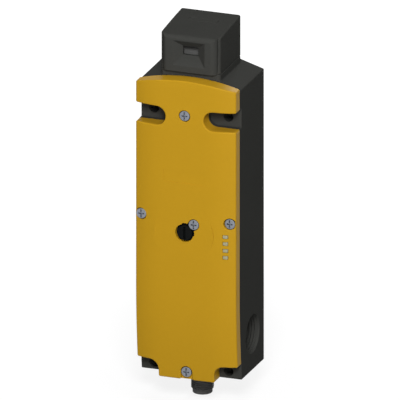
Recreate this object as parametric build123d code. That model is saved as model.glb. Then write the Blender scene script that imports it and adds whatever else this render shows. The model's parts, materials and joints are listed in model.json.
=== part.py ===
from build123d import *

import math
import os

# Tongue interlock switch for a machine guard, with solenoid guard locking.
# Millimetres. X to the right, Y into the mounting wall, Z up.
# The sizes below are counted from the underside of the enclosure and from its
# back face. The finished pieces are then moved so that the origin lies on the
# back face, at the centre of the four mounting holes.

# Enclosure base
BODY_WIDTH = 54.0
SHOULDER_DROP = 6.9
SHOULDER_RISE = 3.9
SHOULDER_FLAT = 28.2
SEAM_DEPTH = 36.2
EAR_DEPTH = 33.5
SIDE_WALL = 2.6
BACK_WALL = 3.0
FLOOR_WALL = 3.0
CAVITY_HEADROOM = 2.0
CLIP_POCKET_ROOF = 2.5
MEMBRANE = 1.2

# Mounting holes
MOUNT_SPACING_X = 40.0
MOUNT_LOW_Z = 4.0
MOUNT_TOP_INSET = 15.5
MOUNT_HOLE_R = 2.65

# Lower bend of the front and its seam
BEND_Z = 50.0
BEND_RADIUS = 390.0
BEND_SWEEP = 9.0

# Front cover
COVER_DEPTH = 44.0
COVER_FLAT = 25.8
COVER_ROLL_R = 41.0
COVER_WALL = 2.4
COVER_RISE = 4.7
COVER_ARCH_R = 97.8
COVER_LOBE_DROP = 0.5
LOBE_WIDTH = 30.0
CORNER_TOP = 8.5
CORNER_R = 5.0
NOTCH_R = 5.05
NOTCH_REACH = 10.25
PLATEAU_R = 15.55
LABEL_X = (-11.3, 10.6)
LABEL_RISE = (26.7, 33.1)
LABEL_SINK = 0.15
SEAL_RIB = 1.8

# Cover gasket
GASKET_INSET = 0.5
GASKET_WIDTH = 1.0
GASKET_DEPTH = 1.2

# Cover screws
SCREW_HEAD_R = 2.75
SCREW_HEAD_H = 1.8
SCREW_SHANK_R = 1.5
SCREW_RECESS_R = 3.05
SCREW_SINK = 0.3
SCREW_BITE = 5.6
SCREW_BOSS_R = 3.3
SCREW_BOSS_BACK = 27.0
TOP_SCREW_RISE = 1.4
SIDE_SCREW_INSET = 3.2
SIDE_SCREW_RISE = 7.1
LOW_SCREW_Z = 3.7
DRIVE_SLOT = 0.8

# Release dial and its seal screw
DIAL_Z = 79.5
DIAL_R = 4.73
DIAL_FACE_R = 4.1
DIAL_FACE_SINK = 0.4
DIAL_RIM_SINK = 2.0
DIAL_RIM_DEPTH = 3.4
DIAL_BEARING = 6.0
DIAL_SHAFT_R = 3.0
DIAL_POINTER_R = 5.3
DIAL_WINDOW_R = 5.45
DIAL_TURN = 90.0
SEAL_SCREW_X = 5.0
SEAL_SCREW_RISE = 4.95
SEAL_SCREW_SINK = 0.1
SEAL_SCREW_HEAD_H = 1.5
SEAL_SCREW_LENGTH = 3.8

# Status lamps
LAMP_INSET = 5.2
LAMP_RISE = 0.2
LAMP_PITCH = 3.7
LAMP_COUNT = 4
LAMP_WIDTH = 2.9
LAMP_HEIGHT = 2.0
LAMP_PROUD = 0.4
LAMP_FLANGE = 0.45

# Circuit board
BOARD_FRONT = 33.6
BOARD_THICKNESS = 1.6
BOARD_GAP_LEFT = 1.9
BOARD_GAP_RIGHT = 0.8
BOARD_GAP_LOW = 3.0
BOARD_GAP_HIGH = 6.0
BOARD_TAB_WIDTH = 11.1
BOARD_TAB_RISE = 2.5
BOARD_POST_R = 2.2
BOARD_POST_INSET = (3.0, 3.5)
BOARD_SCREW_R = 1.1
BOARD_SCREW_HEAD = (1.9, 1.2)
CHIP_HEIGHT = 0.8
MODULE_SIZES = ((10.0, 10.0, 1.8), (10.0, 12.0, 6.0), (6.0, 10.0, 3.0))
MODULE_GAP = 4.0

# Cable entries and plug
ENTRY_R = 10.0
ENTRY_LENGTH = 8.5
ENTRY_Z = 19.4
ENTRY_ROOF = 3.6
ENTRY_DEPTH = 16.8
PLUG_DEPTH = 16.8
PLUG_THREAD_R = 5.85
PLUG_THREAD_END = -12.5
PLUG_TIP = -15.0
PLUG_TIP_R = 5.1
PLUG_COLLAR_R = 8.6
PLUG_COLLAR = 1.8
PLUG_NECK_R = 6.9
PLUG_BORE_R = 4.25
PLUG_NUT = 3.0
PLUG_NUT_FLATS = 18.0
PLUG_KEY_HALF = 0.7
INSERT_SINK = 7.5
INSERT_LEDGE = 1.0
PLUG_KEY_LENGTH = 4.0
PLUG_INNER_END = 1.5
PIN_TAIL = 3.5
PIN_CIRCLE_R = 2.4
PIN_R = 0.5
PIN_SINK = 1.6

# Actuator head
HEAD_WIDTH = 32.0
HEAD_BACK = 3.85
HEAD_FRONT = 35.2
HEAD_SEAM_GAP = 0.2
HEAD_HEIGHT_BACK = 22.0
HEAD_HEIGHT_MIDDLE = 20.95
HEAD_HEIGHT_FRONT = 19.45
HEAD_FRONT_R = 2.0
HEAD_BACK_R = 1.2
FACE_WIDTH = 29.4
FACE_CORNER_R = 3.2
FACE_FRONT = 37.5
FACE_BACK = 33.0
FACE_EDGE_R = 2.6
FUNNEL_X = 17.2
FUNNEL_RISE = (3.4, 16.7)
FUNNEL_END = 34.3
WINDOW_X = 8.3
WINDOW_RISE = (8.6, 13.2)
TOP_SLOT_X = 15.6
TOP_SLOT_Y = (-17.7, -13.7)
TOP_SLOT_RISE = 14.8
NECK_R = 12.4
NECK_LENGTH = 12.9
NECK_END_GAP = 0.5
RUNNING = 0.06
CLIP_RISE = 2.2
CLIP_THICKNESS = 2.0
CLIP_GROOVE_R = 10.8
CLIP_OUTER_R = 14.3
NECK_RING_RISE = 8.0
NECK_RING_R = 0.85

# Cam wheel and plunger
WHEEL_Y = -21.3
WHEEL_RISE = 5.3
WHEEL_R = 8.2
WHEEL_WIDTH = 11.8
WHEEL_WEB = 5.6
WHEEL_TURN = 60.0
AXLE_R = 2.0
AXLE_FIT = 0.05
TONGUE_NOTCH = 4.0
TONGUE_NOTCH_DEEP = 5.4
PLUNGER_LIFT = 5.0
PLUNGER_R = 2.4
PLUNGER_TIP_DROP = 10.45
CAM_GAP = 0.15
BUSH_R = 4.5
BUSH_LENGTH = 7.9
COLLAR_HEADROOM = 1.0
COLLAR_THICKNESS = 2.0
COLLAR_R = 6.0
CRANK_CLEARANCE = 1.0
CRANK_THICKNESS = 3.0
CRANK_HEADROOM = 1.5

# Contact block
BLOCK_X = 16.0
BLOCK_FRONT = 29.0
BLOCK_BACK = 6.0
BLOCK_HEIGHT = 25.5
CHAMBER_X = 12.5
CHAMBER_BACK = 12.0
CHAMBER_RISE = 9.0
BRIDGE_RISE = 4.1
BRIDGE_PITCH = 11.5
BRIDGE_THICKNESS = 0.8
BRIDGE_LENGTH = 20.0
BRIDGE_WIDTH = 5.0
CONTACT_GAP = 0.2
TERMINAL_R = 1.9
TERMINAL_HEAD = 1.6
TERMINAL_SLOT = 0.6
TERMINAL_DROP = 3.2
TERMINAL_STRIP = 6.0

# Solenoid with its axis along X
LOCK_Y = -16.5
COIL_R = 10.6
BOBBIN_R = 11.2
BOBBIN_TUBE_R = 5.5
BOBBIN_BORE_R = 4.3
BOBBIN_FLANGE = 1.2
YOKE_GAP = 0.5
YOKE_RIGHT = -1.5
YOKE_WIDTH = 16.0
YOKE_PLATE = 2.0
YOKE_HALF_HEIGHT = 13.5
ARMATURE_R = 4.0
ARMATURE_STROKE = 4.5
ARMATURE_END_GAP = 1.4
ARM_X = 5.0
ARM_THICKNESS = 1.2
ARM_COLLAR_R = 6.0
ARM_PLATE_Y = (-31.2, -30.0)
CAM_ROOT_R = 4.2
CAM_SIDE_GAP = 0.3

# Lock bolt
BOLT_STROKE = 4.0
BOLT_SIZE = 5.0
BOLT_TAIL_R = 2.4
BOLT_TIP_X = 13.0
BOLT_ENGAGED = 1.0
SLIDE_GAP = 0.3
FOOT_RIGHT = 14.0
GUIDE_X = (-5.0, 6.0)
GUIDE_WALL = 1.7
GUIDE_DROP = 6.2
GUIDE_FLOOR_GAP = 0.1
GUIDE_RISE = 6.0

# Springs
PLUNGER_SPRING_LENGTH = 13.5
SPRING_TURNS = 5
SPRING_WIRE_R = 0.35

# Lock monitor
MONITOR_DROP = 19.0
MONITOR_BRIDGE_HEIGHT = 3.0
MONITOR_BRIDGE_REACH = 7.0
MONITOR_PIN_Y = 5.5
MONITOR_PIN_R = 1.0
MONITOR_PIN_END = 18.0
MONITOR_LEG_TAIL = 1.0
MONITOR_BLOCK_X = (10.0, 20.0)
MONITOR_BLOCK_RISE = (-5.5, 5.0)
MONITOR_BLOCK_REACH = 8.0

# Heights that follow from the lock, upwards through the train to the head
CRANK_Z = DIAL_Z + YOKE_HALF_HEIGHT + CRANK_CLEARANCE
BLOCK_LOW = CRANK_Z + CRANK_THICKNESS + PLUNGER_LIFT + CRANK_HEADROOM
BLOCK_Z = (BLOCK_LOW, BLOCK_LOW + BLOCK_HEIGHT)
BRIDGE_Z = (BLOCK_LOW + BRIDGE_RISE, BLOCK_LOW + BRIDGE_RISE + BRIDGE_PITCH)
CAVITY_TOP = BLOCK_Z[1] + CAVITY_HEADROOM
COLLAR_Z = BLOCK_Z[1] + PLUNGER_SPRING_LENGTH
NECK_BOTTOM = COLLAR_Z + COLLAR_THICKNESS + PLUNGER_LIFT + COLLAR_HEADROOM
NECK_BORE_BOTTOM = NECK_BOTTOM - NECK_END_GAP
CLIP_Z = NECK_BOTTOM + CLIP_RISE
NECK_RING_Z = NECK_BOTTOM + NECK_RING_RISE
BUSH_TOP = NECK_BOTTOM + BUSH_LENGTH
HEAD_SEAM_Z = NECK_BOTTOM + NECK_LENGTH
HEAD_BOTTOM = HEAD_SEAM_Z + HEAD_SEAM_GAP
HEAD_TOP_BACK = HEAD_SEAM_Z + HEAD_HEIGHT_BACK
HEAD_TOP_MIDDLE = HEAD_SEAM_Z + HEAD_HEIGHT_MIDDLE
HEAD_TOP_FRONT = HEAD_SEAM_Z + HEAD_HEIGHT_FRONT
FUNNEL_Z = (HEAD_SEAM_Z + FUNNEL_RISE[0], HEAD_SEAM_Z + FUNNEL_RISE[1])
WINDOW_Z = (HEAD_SEAM_Z + WINDOW_RISE[0], HEAD_SEAM_Z + WINDOW_RISE[1])
TOP_SLOT_DEEP = HEAD_SEAM_Z + TOP_SLOT_RISE
WHEEL_Z = HEAD_SEAM_Z + WHEEL_RISE
PLUNGER_TIP_Z = WHEEL_Z - PLUNGER_TIP_DROP
BODY_SIDE_HEIGHT = HEAD_SEAM_Z - SHOULDER_DROP
BODY_TOP = BODY_SIDE_HEIGHT + SHOULDER_RISE
COVER_TOP = BODY_SIDE_HEIGHT + COVER_RISE
NOTCH_Z = BODY_SIDE_HEIGHT - MOUNT_TOP_INSET
MOUNT_SPACING_Z = NOTCH_Z - MOUNT_LOW_Z
TOP_SCREW_Z = NOTCH_Z + TOP_SCREW_RISE
SIDE_SCREW_Z = DIAL_Z + SIDE_SCREW_RISE
LABEL_Z = (DIAL_Z + LABEL_RISE[0], DIAL_Z + LABEL_RISE[1])
LAMP_TOP_Z = DIAL_Z + LAMP_RISE
MONITOR_Z = DIAL_Z - MONITOR_DROP

# Places across the width and through the depth
HALF_BODY = BODY_WIDTH / 2
HALF_CAVITY = HALF_BODY - SIDE_WALL
SIDE_SCREW_X = HALF_BODY - SIDE_SCREW_INSET
LAMP_X = HALF_BODY - LAMP_INSET
YOKE_X = (-HALF_CAVITY + YOKE_GAP, YOKE_RIGHT)
ARMATURE_BACK = YOKE_X[0] + YOKE_PLATE + ARMATURE_STROKE + ARMATURE_END_GAP
BOARD_X = (-HALF_CAVITY + BOARD_GAP_LEFT, HALF_CAVITY - BOARD_GAP_RIGHT)
ENTRY_TOP = ENTRY_Z + ENTRY_R + ENTRY_ROOF
BOARD_Z = (ENTRY_TOP + BOARD_GAP_LOW, DIAL_Z - YOKE_HALF_HEIGHT - BOARD_GAP_HIGH)
TURN_Y = -(HEAD_BACK + HEAD_FRONT) / 2
DIAL_BEARING_END = COVER_DEPTH - DIAL_BEARING

PIECE_SHIFT = Location((0, 0, -(MOUNT_LOW_Z + MOUNT_SPACING_Z / 2)))
NOTCH_END_X = NOTCH_REACH + NOTCH_R
CORNER_X = LOBE_WIDTH / 2 + CORNER_R
CORNER_Z = CORNER_TOP - CORNER_R
BEND_AXIS = Axis((0, BEND_RADIUS - COVER_DEPTH, BEND_Z), (1, 0, 0))
FAR = 60.0
BOARD_BACK = BOARD_FRONT - BOARD_THICKNESS
BOLT_TOP = DIAL_Z + BOLT_SIZE / 2
BOLT_BOTTOM = DIAL_Z - BOLT_SIZE / 2
ARM_RIGHT = ARM_X + ARM_THICKNESS


def block(x, y, z):
    """Box between low and high values along X, Y and Z."""
    middle = Pos((x[0] + x[1]) / 2, (y[0] + y[1]) / 2, (z[0] + z[1]) / 2)
    return middle * Box(abs(x[1] - x[0]), abs(y[1] - y[0]), abs(z[1] - z[0]))


def rod_x(radius, x, y, z):
    """Round bar along X between two values."""
    return Pos((x[0] + x[1]) / 2, y, z) * Rot(0, 90, 0) * Cylinder(radius, abs(x[1] - x[0]))


def rod_y(radius, x, y, z):
    """Round bar along Y between two values."""
    return Pos(x, (y[0] + y[1]) / 2, z) * Rot(90, 0, 0) * Cylinder(radius, abs(y[1] - y[0]))


def rod_z(radius, x, y, z):
    """Round bar along Z between two values."""
    return Pos(x, y, (z[0] + z[1]) / 2) * Cylinder(radius, abs(z[1] - z[0]))


def patch(x, y):
    """Flat rectangle between low and high values, in a plane's own axes."""
    return Pos((x[0] + x[1]) / 2, (y[0] + y[1]) / 2) * Rectangle(abs(x[1] - x[0]), abs(y[1] - y[0]))


def front_prism(face, back, front):
    """Extrude a face drawn in front view (X, Z) between two depths."""
    return extrude(Plane.XZ.offset(back) * face, amount=front - back)


def side_prism(face, half_width):
    """Extrude a face drawn in side view (Y, Z) to both sides of the middle."""
    return extrude(Plane.YZ * face, amount=half_width, both=True)


def plan_prism(face, low, high):
    """Extrude a face drawn in plan (X, Y) between two heights."""
    return extrude(Plane.XY.offset(low) * face, amount=high - low)


def follow_front(face):
    """Carry a plan section straight up and round the lower bend of the front."""
    section = Plane.XY.offset(BEND_Z) * face
    up = extrude(section, amount=COVER_TOP - BEND_Z + 2)
    down = revolve(section, axis=BEND_AXIS, revolution_arc=BEND_SWEEP)
    return up + down


def front_depth(x, z, depth=COVER_DEPTH):
    """Depth of the cover's front face, or of a face parallel to it, at a point."""
    side = max(0.0, abs(x) - COVER_FLAT / 2)
    roll = COVER_ROLL_R - math.sqrt(COVER_ROLL_R ** 2 - side ** 2)
    low = max(0.0, BEND_Z - z)
    reach = BEND_RADIUS - COVER_DEPTH + depth - roll
    return math.sqrt(reach ** 2 - low ** 2) - BEND_RADIUS + COVER_DEPTH


def seam_depth(z):
    """Depth of the seam between base and cover at a height."""
    low = max(0.0, BEND_Z - z)
    reach = BEND_RADIUS - COVER_DEPTH + SEAM_DEPTH
    return math.sqrt(reach ** 2 - low ** 2) - BEND_RADIUS + COVER_DEPTH


def barrel_section(half_width, inset, back):
    """Plan section with a flat middle and sides rolled back on a radius."""
    flat = COVER_FLAT / 2
    radius = COVER_ROLL_R - inset
    centre_y = -COVER_DEPTH + COVER_ROLL_R
    turn = math.asin((half_width - flat) / radius)
    edge_y = centre_y - radius * math.cos(turn)
    half = (flat + radius * math.sin(turn / 2), centre_y - radius * math.cos(turn / 2))
    crown_y = -COVER_DEPTH + inset
    outline = [
        Line((flat, crown_y), (-flat, crown_y)),
        ThreePointArc((-flat, crown_y), (-half[0], half[1]), (-half_width, edge_y)),
        Line((-half_width, edge_y), (-half_width, -back)),
        Line((-half_width, -back), (half_width, -back)),
        Line((half_width, -back), (half_width, edge_y)),
        ThreePointArc((half_width, edge_y), half, (flat, crown_y)),
    ]
    return make_face(outline)


def notch_face(side, inset=0.0):
    """Front view of the slot over an upper mounting hole, open to the side."""
    radius = NOTCH_R + inset
    slot = patch((side * NOTCH_END_X, side * (HALF_BODY + 5)), (NOTCH_Z - radius, NOTCH_Z + radius))
    return slot + Pos(side * NOTCH_END_X, NOTCH_Z) * Circle(radius)


def corner_face(side, inset=0.0):
    """Front view of the cut-away over a lower mounting hole."""
    outer = side * (HALF_BODY + 5)
    upper = patch((side * CORNER_X, outer), (-5, CORNER_TOP + inset))
    lower = patch((side * (LOBE_WIDTH / 2 - inset), outer), (-5, CORNER_Z))
    return upper + lower + Pos(side * CORNER_X, CORNER_Z) * Circle(CORNER_R + inset)


def rim_face(inset, top, bottom):
    """Front view of the cover's footprint, drawn in by an inset."""
    face = patch((-HALF_BODY + inset, HALF_BODY - inset), (bottom + inset, top - inset))
    for side in (-1, 1):
        face -= notch_face(side, inset)
        face -= corner_face(side, inset)
    return face


def arch_face(inset):
    """Front view of the large circle that rounds the top of the cover."""
    return Pos(0, COVER_TOP - COVER_ARCH_R) * Circle(COVER_ARCH_R - inset)


def head_plan(reach=0.0):
    """Plan of the head and of the platform under it."""
    face = patch((-HEAD_WIDTH / 2 - reach, HEAD_WIDTH / 2 + reach), (-HEAD_FRONT, -HEAD_BACK))
    rows = face.vertices().group_by(Axis.Y)
    face = fillet(rows[0], HEAD_FRONT_R)
    rows = face.vertices().group_by(Axis.Y)
    return fillet(rows[-1], HEAD_BACK_R)


def gasket_ring():
    """Closed seal cord that follows the rim of the base."""
    band = rim_face(GASKET_INSET, BODY_SIDE_HEIGHT, 0)
    band -= rim_face(GASKET_INSET + GASKET_WIDTH, BODY_SIDE_HEIGHT, 0)
    half = HALF_BODY + 2
    slab = follow_front(patch((-half, half), (-SEAM_DEPTH, -SEAM_DEPTH + GASKET_DEPTH)))
    return slab & front_prism(band, 0, FAR)


def screw_places():
    """Centre of each cover screw as (x, z)."""
    return [
        (0, TOP_SCREW_Z),
        (-SIDE_SCREW_X, SIDE_SCREW_Z),
        (SIDE_SCREW_X, SIDE_SCREW_Z),
        (0, LOW_SCREW_Z),
    ]


def screw_face(x, z):
    """Depth of a cover screw's outer face."""
    return front_depth(x, z) - SCREW_SINK


def mount_places():
    """Centre of each mounting hole as (x, z)."""
    half = MOUNT_SPACING_X / 2
    heights = (MOUNT_LOW_Z, MOUNT_LOW_Z + MOUNT_SPACING_Z)
    return [(x, z) for x in (-half, half) for z in heights]


def board_posts():
    """Centre of each board post as (x, z)."""
    inset_x, inset_z = BOARD_POST_INSET
    left = BOARD_X[0] + inset_x
    right = BOARD_X[1] - inset_z
    low = BOARD_Z[0] + inset_z
    return [(left, low), (left, BOARD_Z[1] - inset_z), (right, low)]


def body_outline():
    """Front view of the base, with its sloped shoulders."""
    flat = SHOULDER_FLAT / 2
    return Polygon(
        (-HALF_BODY, 0),
        (HALF_BODY, 0),
        (HALF_BODY, BODY_SIDE_HEIGHT),
        (flat, BODY_TOP),
        (-flat, BODY_TOP),
        (-HALF_BODY, BODY_SIDE_HEIGHT),
        align=None,
    )


def base_cavity():
    """Space inside the base, open to the front."""
    wide = HALF_CAVITY
    entry = HALF_BODY - ENTRY_LENGTH - MEMBRANE
    lobe = LOBE_WIDTH / 2 - GASKET_INSET - GASKET_WIDTH - 0.5
    ledge = CORNER_TOP + GASKET_INSET + GASKET_WIDTH + 2
    face = patch((-wide, wide), (ENTRY_TOP, CAVITY_TOP))
    face += patch((-entry, entry), (ledge, ENTRY_TOP + 1))
    face += patch((-lobe, lobe), (FLOOR_WALL, ledge + 1))
    space = front_prism(face, BACK_WALL, FAR)
    shaft = COLLAR_R + 2
    space += block((-shaft, shaft), (-FAR, -BACK_WALL), (CAVITY_TOP - 1, NECK_BORE_BOTTOM))
    for side in (-1, 1):
        pocket_x = (side * (CLIP_OUTER_R + 1.7), side * (wide - 0.4))
        pocket_z = (NOTCH_Z + NOTCH_R + 2.6, BODY_SIDE_HEIGHT - CLIP_POCKET_ROOF)
        space += block(pocket_x, (-FAR, -4), pocket_z)
    return space


def clip_plan(radius, front):
    """Plan of a slot with a round inner end on the head's turning axis."""
    slot = patch((-radius, radius), (-front, TURN_Y))
    return slot + Pos(0, TURN_Y) * Circle(radius)


def base_inner_bosses():
    """Posts and pads that stand on the back wall of the base."""
    add = []
    for x, z in screw_places():
        add.append(rod_y(SCREW_BOSS_R, x, (-SEAM_DEPTH - 2, -SCREW_BOSS_BACK), z))
    width = COLLAR_R + 2.5
    top_boss = (TOP_SCREW_Z - 3.8, TOP_SCREW_Z + 3.8)
    add.append(block((-width, width), (-SEAM_DEPTH - 2, -SCREW_BOSS_BACK), top_boss))
    for x, z in board_posts():
        add.append(rod_y(BOARD_POST_R, x, (-BOARD_BACK, -BACK_WALL + 0.5), z))
    yoke_back = LOCK_Y + YOKE_WIDTH / 2
    for low in (DIAL_Z - YOKE_HALF_HEIGHT, DIAL_Z + YOKE_HALF_HEIGHT - YOKE_PLATE):
        shelf = (low, low + YOKE_PLATE)
        add.append(block((YOKE_X[0] + 1, YOKE_X[1] - 1), (yoke_back, -BACK_WALL + 0.5), shelf))
    add.append(block((-12, 12), (-BLOCK_BACK, -BACK_WALL + 0.5), (BLOCK_Z[0] + 3, BLOCK_Z[1] - 3)))
    return add


def make_enclosure_base():
    """Black moulded base with ears, cable entries and head platform."""
    body = front_prism(body_outline(), 0, SEAM_DEPTH + 4)
    body -= base_cavity()
    for boss in base_inner_bosses():
        body += boss
    body += plan_prism(head_plan(), BODY_TOP - 3, HEAD_SEAM_Z)
    half = HALF_BODY + 2
    body &= block((-HALF_BODY, HALF_BODY), (-FAR, 0), (0, HEAD_SEAM_Z))
    body -= follow_front(patch((-half, half), (-FAR, -SEAM_DEPTH)))
    for side in (-1, 1):
        body -= front_prism(notch_face(side) + corner_face(side), EAR_DEPTH, FAR)
        mouth = side * (HALF_BODY + 1)
        inner = side * (HALF_BODY - ENTRY_LENGTH)
        body -= rod_x(ENTRY_R, (inner, mouth), -ENTRY_DEPTH, ENTRY_Z)
    for x, z in mount_places():
        body -= rod_y(MOUNT_HOLE_R, x, (-FAR, 1), z)
    for x, z in screw_places():
        body -= rod_y(SCREW_SHANK_R + 0.03, x, (-FAR, -seam_depth(z) + SCREW_BITE + 0.5), z)
    body -= rod_z(NECK_R + RUNNING, 0, TURN_Y, (NECK_BORE_BOTTOM, HEAD_SEAM_Z + 1))
    slot = (CLIP_Z - 0.1, CLIP_Z + CLIP_THICKNESS + 0.1)
    body -= plan_prism(clip_plan(CLIP_OUTER_R + 0.2, FAR), slot[0], slot[1])
    body -= rod_z(PLUG_NECK_R + 0.05, 0, -PLUG_DEPTH, (-1, FLOOR_WALL + 1))
    return body - gasket_ring()


def make_cover_gasket():
    """Seal cord lying in the groove of the base's rim."""
    return gasket_ring()


def cover_shell():
    """Yellow shell: barrel front, skirt and hollow inside."""
    outline = rim_face(0, COVER_TOP + 1, -COVER_LOBE_DROP) & arch_face(0)
    outer = follow_front(barrel_section(HALF_BODY, 0, SEAM_DEPTH))
    outer &= front_prism(outline, 0, FAR)
    hollow_outline = rim_face(COVER_WALL, COVER_TOP + 2, -COVER_LOBE_DROP) & arch_face(COVER_WALL)
    hollow = follow_front(barrel_section(HALF_BODY, COVER_WALL, SEAM_DEPTH - 1))
    hollow &= front_prism(hollow_outline, 0, FAR)
    return outer, outer - hollow


def cover_bosses(outer):
    """Screw pillars, dial bearing, plateau and sealing rib of the cover."""
    add = []
    for x, z in screw_places():
        add.append(rod_y(SCREW_BOSS_R + 0.9, x, (-FAR, -20), z) & outer)
    add.append(rod_y(PLATEAU_R, 0, (-COVER_DEPTH, -COVER_DEPTH + COVER_WALL), DIAL_Z))
    add.append(rod_y(DIAL_R + 2.8, 0, (-COVER_DEPTH + 1, -DIAL_BEARING_END), DIAL_Z))
    seal_z = DIAL_Z + SEAL_SCREW_RISE
    add.append(rod_y(SCREW_BOSS_R, SEAL_SCREW_X, (-COVER_DEPTH + 1, -DIAL_BEARING_END), seal_z))
    rib_low = BODY_SIDE_HEIGHT - GASKET_INSET - GASKET_WIDTH - 0.4
    rib = block((-HALF_BODY, HALF_BODY), (-FAR, 0), (rib_low, rib_low + SEAL_RIB))
    add.append(rib & outer)
    return add


def dial_window():
    """Quarter-turn window beside the dial, swept by its pointer."""
    margin = math.radians(13)
    start = -margin
    stop = math.radians(DIAL_TURN) + margin
    reach = 2 * DIAL_WINDOW_R
    corners = [(0, 0)]
    for step in range(5):
        turn = start + (stop - start) * step / 4
        corners.append((reach * math.sin(turn), reach * math.cos(turn)))
    wedge = Polygon(*corners, align=None)
    face = Pos(0, DIAL_Z) * (Circle(DIAL_WINDOW_R) & wedge)
    return front_prism(face, COVER_DEPTH - DIAL_RIM_SINK - 0.6, FAR)


def lamp_places():
    """Height of each status lamp, from the top one down."""
    return [LAMP_TOP_Z - LAMP_PITCH * index for index in range(LAMP_COUNT)]


def lamp_bar(z, back, front, grow=0.0):
    """Rectangular bar on a lamp's axis."""
    half_x = LAMP_WIDTH / 2 + grow
    half_z = LAMP_HEIGHT / 2 + grow
    return block((LAMP_X - half_x, LAMP_X + half_x), (-front, -back), (z - half_z, z + half_z))


def make_front_cover():
    """Yellow moulded front cover."""
    outer, cover = cover_shell()
    for boss in cover_bosses(outer):
        cover += boss
    for x, z in screw_places():
        face = screw_face(x, z)
        cover -= rod_y(SCREW_RECESS_R, x, (-FAR, -face + SCREW_HEAD_H), z)
        cover -= rod_y(SCREW_SHANK_R + 0.2, x, (-FAR, 0), z)
    low_face = screw_face(0, LOW_SCREW_Z)
    notch = (-SCREW_RECESS_R, SCREW_RECESS_R)
    cover -= block(notch, (-FAR, -low_face + SCREW_HEAD_H), (-5, LOW_SCREW_Z))
    cover -= rod_y(DIAL_R + RUNNING, 0, (-FAR, 0), DIAL_Z)
    cover -= dial_window()
    seal_z = DIAL_Z + SEAL_SCREW_RISE
    seal_floor = -COVER_DEPTH + SEAL_SCREW_SINK + SEAL_SCREW_HEAD_H
    cover -= rod_y(SCREW_RECESS_R, SEAL_SCREW_X, (-FAR, seal_floor), seal_z)
    seal_end = seal_floor + SEAL_SCREW_LENGTH + 0.3
    cover -= rod_y(SCREW_SHANK_R + 0.03, SEAL_SCREW_X, (-FAR, seal_end), seal_z)
    for z in lamp_places():
        cover -= lamp_bar(z, 20, FAR)
    cover -= block(LABEL_X, (-FAR, -COVER_DEPTH + LABEL_SINK), LABEL_Z)
    return cover


def combination_screw(x, face, z, head_h, length):
    """Flat-headed screw with a slot across a cross recess, axis along Y."""
    screw = rod_y(SCREW_HEAD_R, x, (-face, -face + head_h), z)
    screw = chamfer(screw.faces().sort_by(Axis.Y)[0].edges(), 0.25)
    tip = -face + head_h + length
    screw += rod_y(SCREW_SHANK_R, x, (-face + head_h - 0.1, tip), z)
    half = DRIVE_SLOT / 2
    arm = SCREW_HEAD_R * 0.62
    slot = (-face - 1, -face + head_h * 0.4)
    cross = (-face - 1, -face + head_h * 0.6)
    screw -= block((x - half, x + half), slot, (z - SCREW_HEAD_R, z + SCREW_HEAD_R))
    screw -= block((x - half, x + half), cross, (z - arm, z + arm))
    return screw - block((x - arm, x + arm), cross, (z - half, z + half))


def make_cover_screws():
    """Four captive screws that clamp the cover to the base."""
    screws = []
    for x, z in screw_places():
        face = screw_face(x, z)
        length = face - SCREW_HEAD_H - seam_depth(z) + SCREW_BITE
        screws.append(combination_screw(x, face, z, SCREW_HEAD_H, length))
    return screws


def make_seal_screw():
    """Screw that covers the dial's rim and seals the auxiliary release."""
    face = COVER_DEPTH - SEAL_SCREW_SINK
    z = DIAL_Z + SEAL_SCREW_RISE
    return combination_screw(SEAL_SCREW_X, face, z, SEAL_SCREW_HEAD_H, SEAL_SCREW_LENGTH)


def make_led_light_pipes():
    """Clear bars that carry each lamp's light through the cover."""
    pipes = []
    front = front_depth(LAMP_X, LAMP_TOP_Z)
    inner = front - COVER_WALL - 0.58
    for z in lamp_places():
        pipe = lamp_bar(z, BOARD_FRONT + CHIP_HEIGHT + 0.2, front + LAMP_PROUD)
        pipe += lamp_bar(z, inner - 1.0, inner, LAMP_FLANGE)
        pipes.append(pipe)
    return pipes


def make_circuit_board():
    """L-shaped board behind the cover, on posts of the base."""
    tab = (BOARD_X[1] - BOARD_TAB_WIDTH, BOARD_X[1])
    face = patch(BOARD_X, BOARD_Z) + patch(tab, (BOARD_Z[1] - 1, DIAL_Z + BOARD_TAB_RISE))
    board = front_prism(face, BOARD_BACK, BOARD_FRONT)
    for x, z in board_posts():
        board -= rod_y(BOARD_SCREW_R + 0.05, x, (-FAR, 0), z)
    return board


def make_board_screws():
    """Pan-head screws that hold the board on its posts."""
    screws = []
    for x, z in board_posts():
        head_r, head_h = BOARD_SCREW_HEAD
        screw = rod_y(head_r, x, (-BOARD_FRONT - head_h, -BOARD_FRONT), z)
        screw += rod_y(BOARD_SCREW_R, x, (-BOARD_FRONT, -BOARD_BACK), z)
        screws.append(screw)
    return screws


def make_board_lamps():
    """Surface-mounted lamps in front of the board, one per light pipe."""
    return [lamp_bar(z, BOARD_FRONT, BOARD_FRONT + CHIP_HEIGHT, -0.35) for z in lamp_places()]


def make_board_modules():
    """Bus chip, relay and coil driver on the back of the board."""
    bus, relay, driver = MODULE_SIZES
    corners = [
        (-bus[0] - MODULE_GAP + 1, BOARD_Z[1] - bus[1] - MODULE_GAP - 2),
        (1, BOARD_Z[0] + MODULE_GAP),
        (BOARD_X[1] - BOARD_TAB_WIDTH + MODULE_GAP - 2, BOARD_Z[1] + MODULE_GAP),
    ]
    modules = []
    for (x, z), (width, tall, height) in zip(corners, MODULE_SIZES):
        modules.append(block((x, x + width), (-BOARD_BACK, -BOARD_BACK + height), (z, z + tall)))
    return modules


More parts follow.
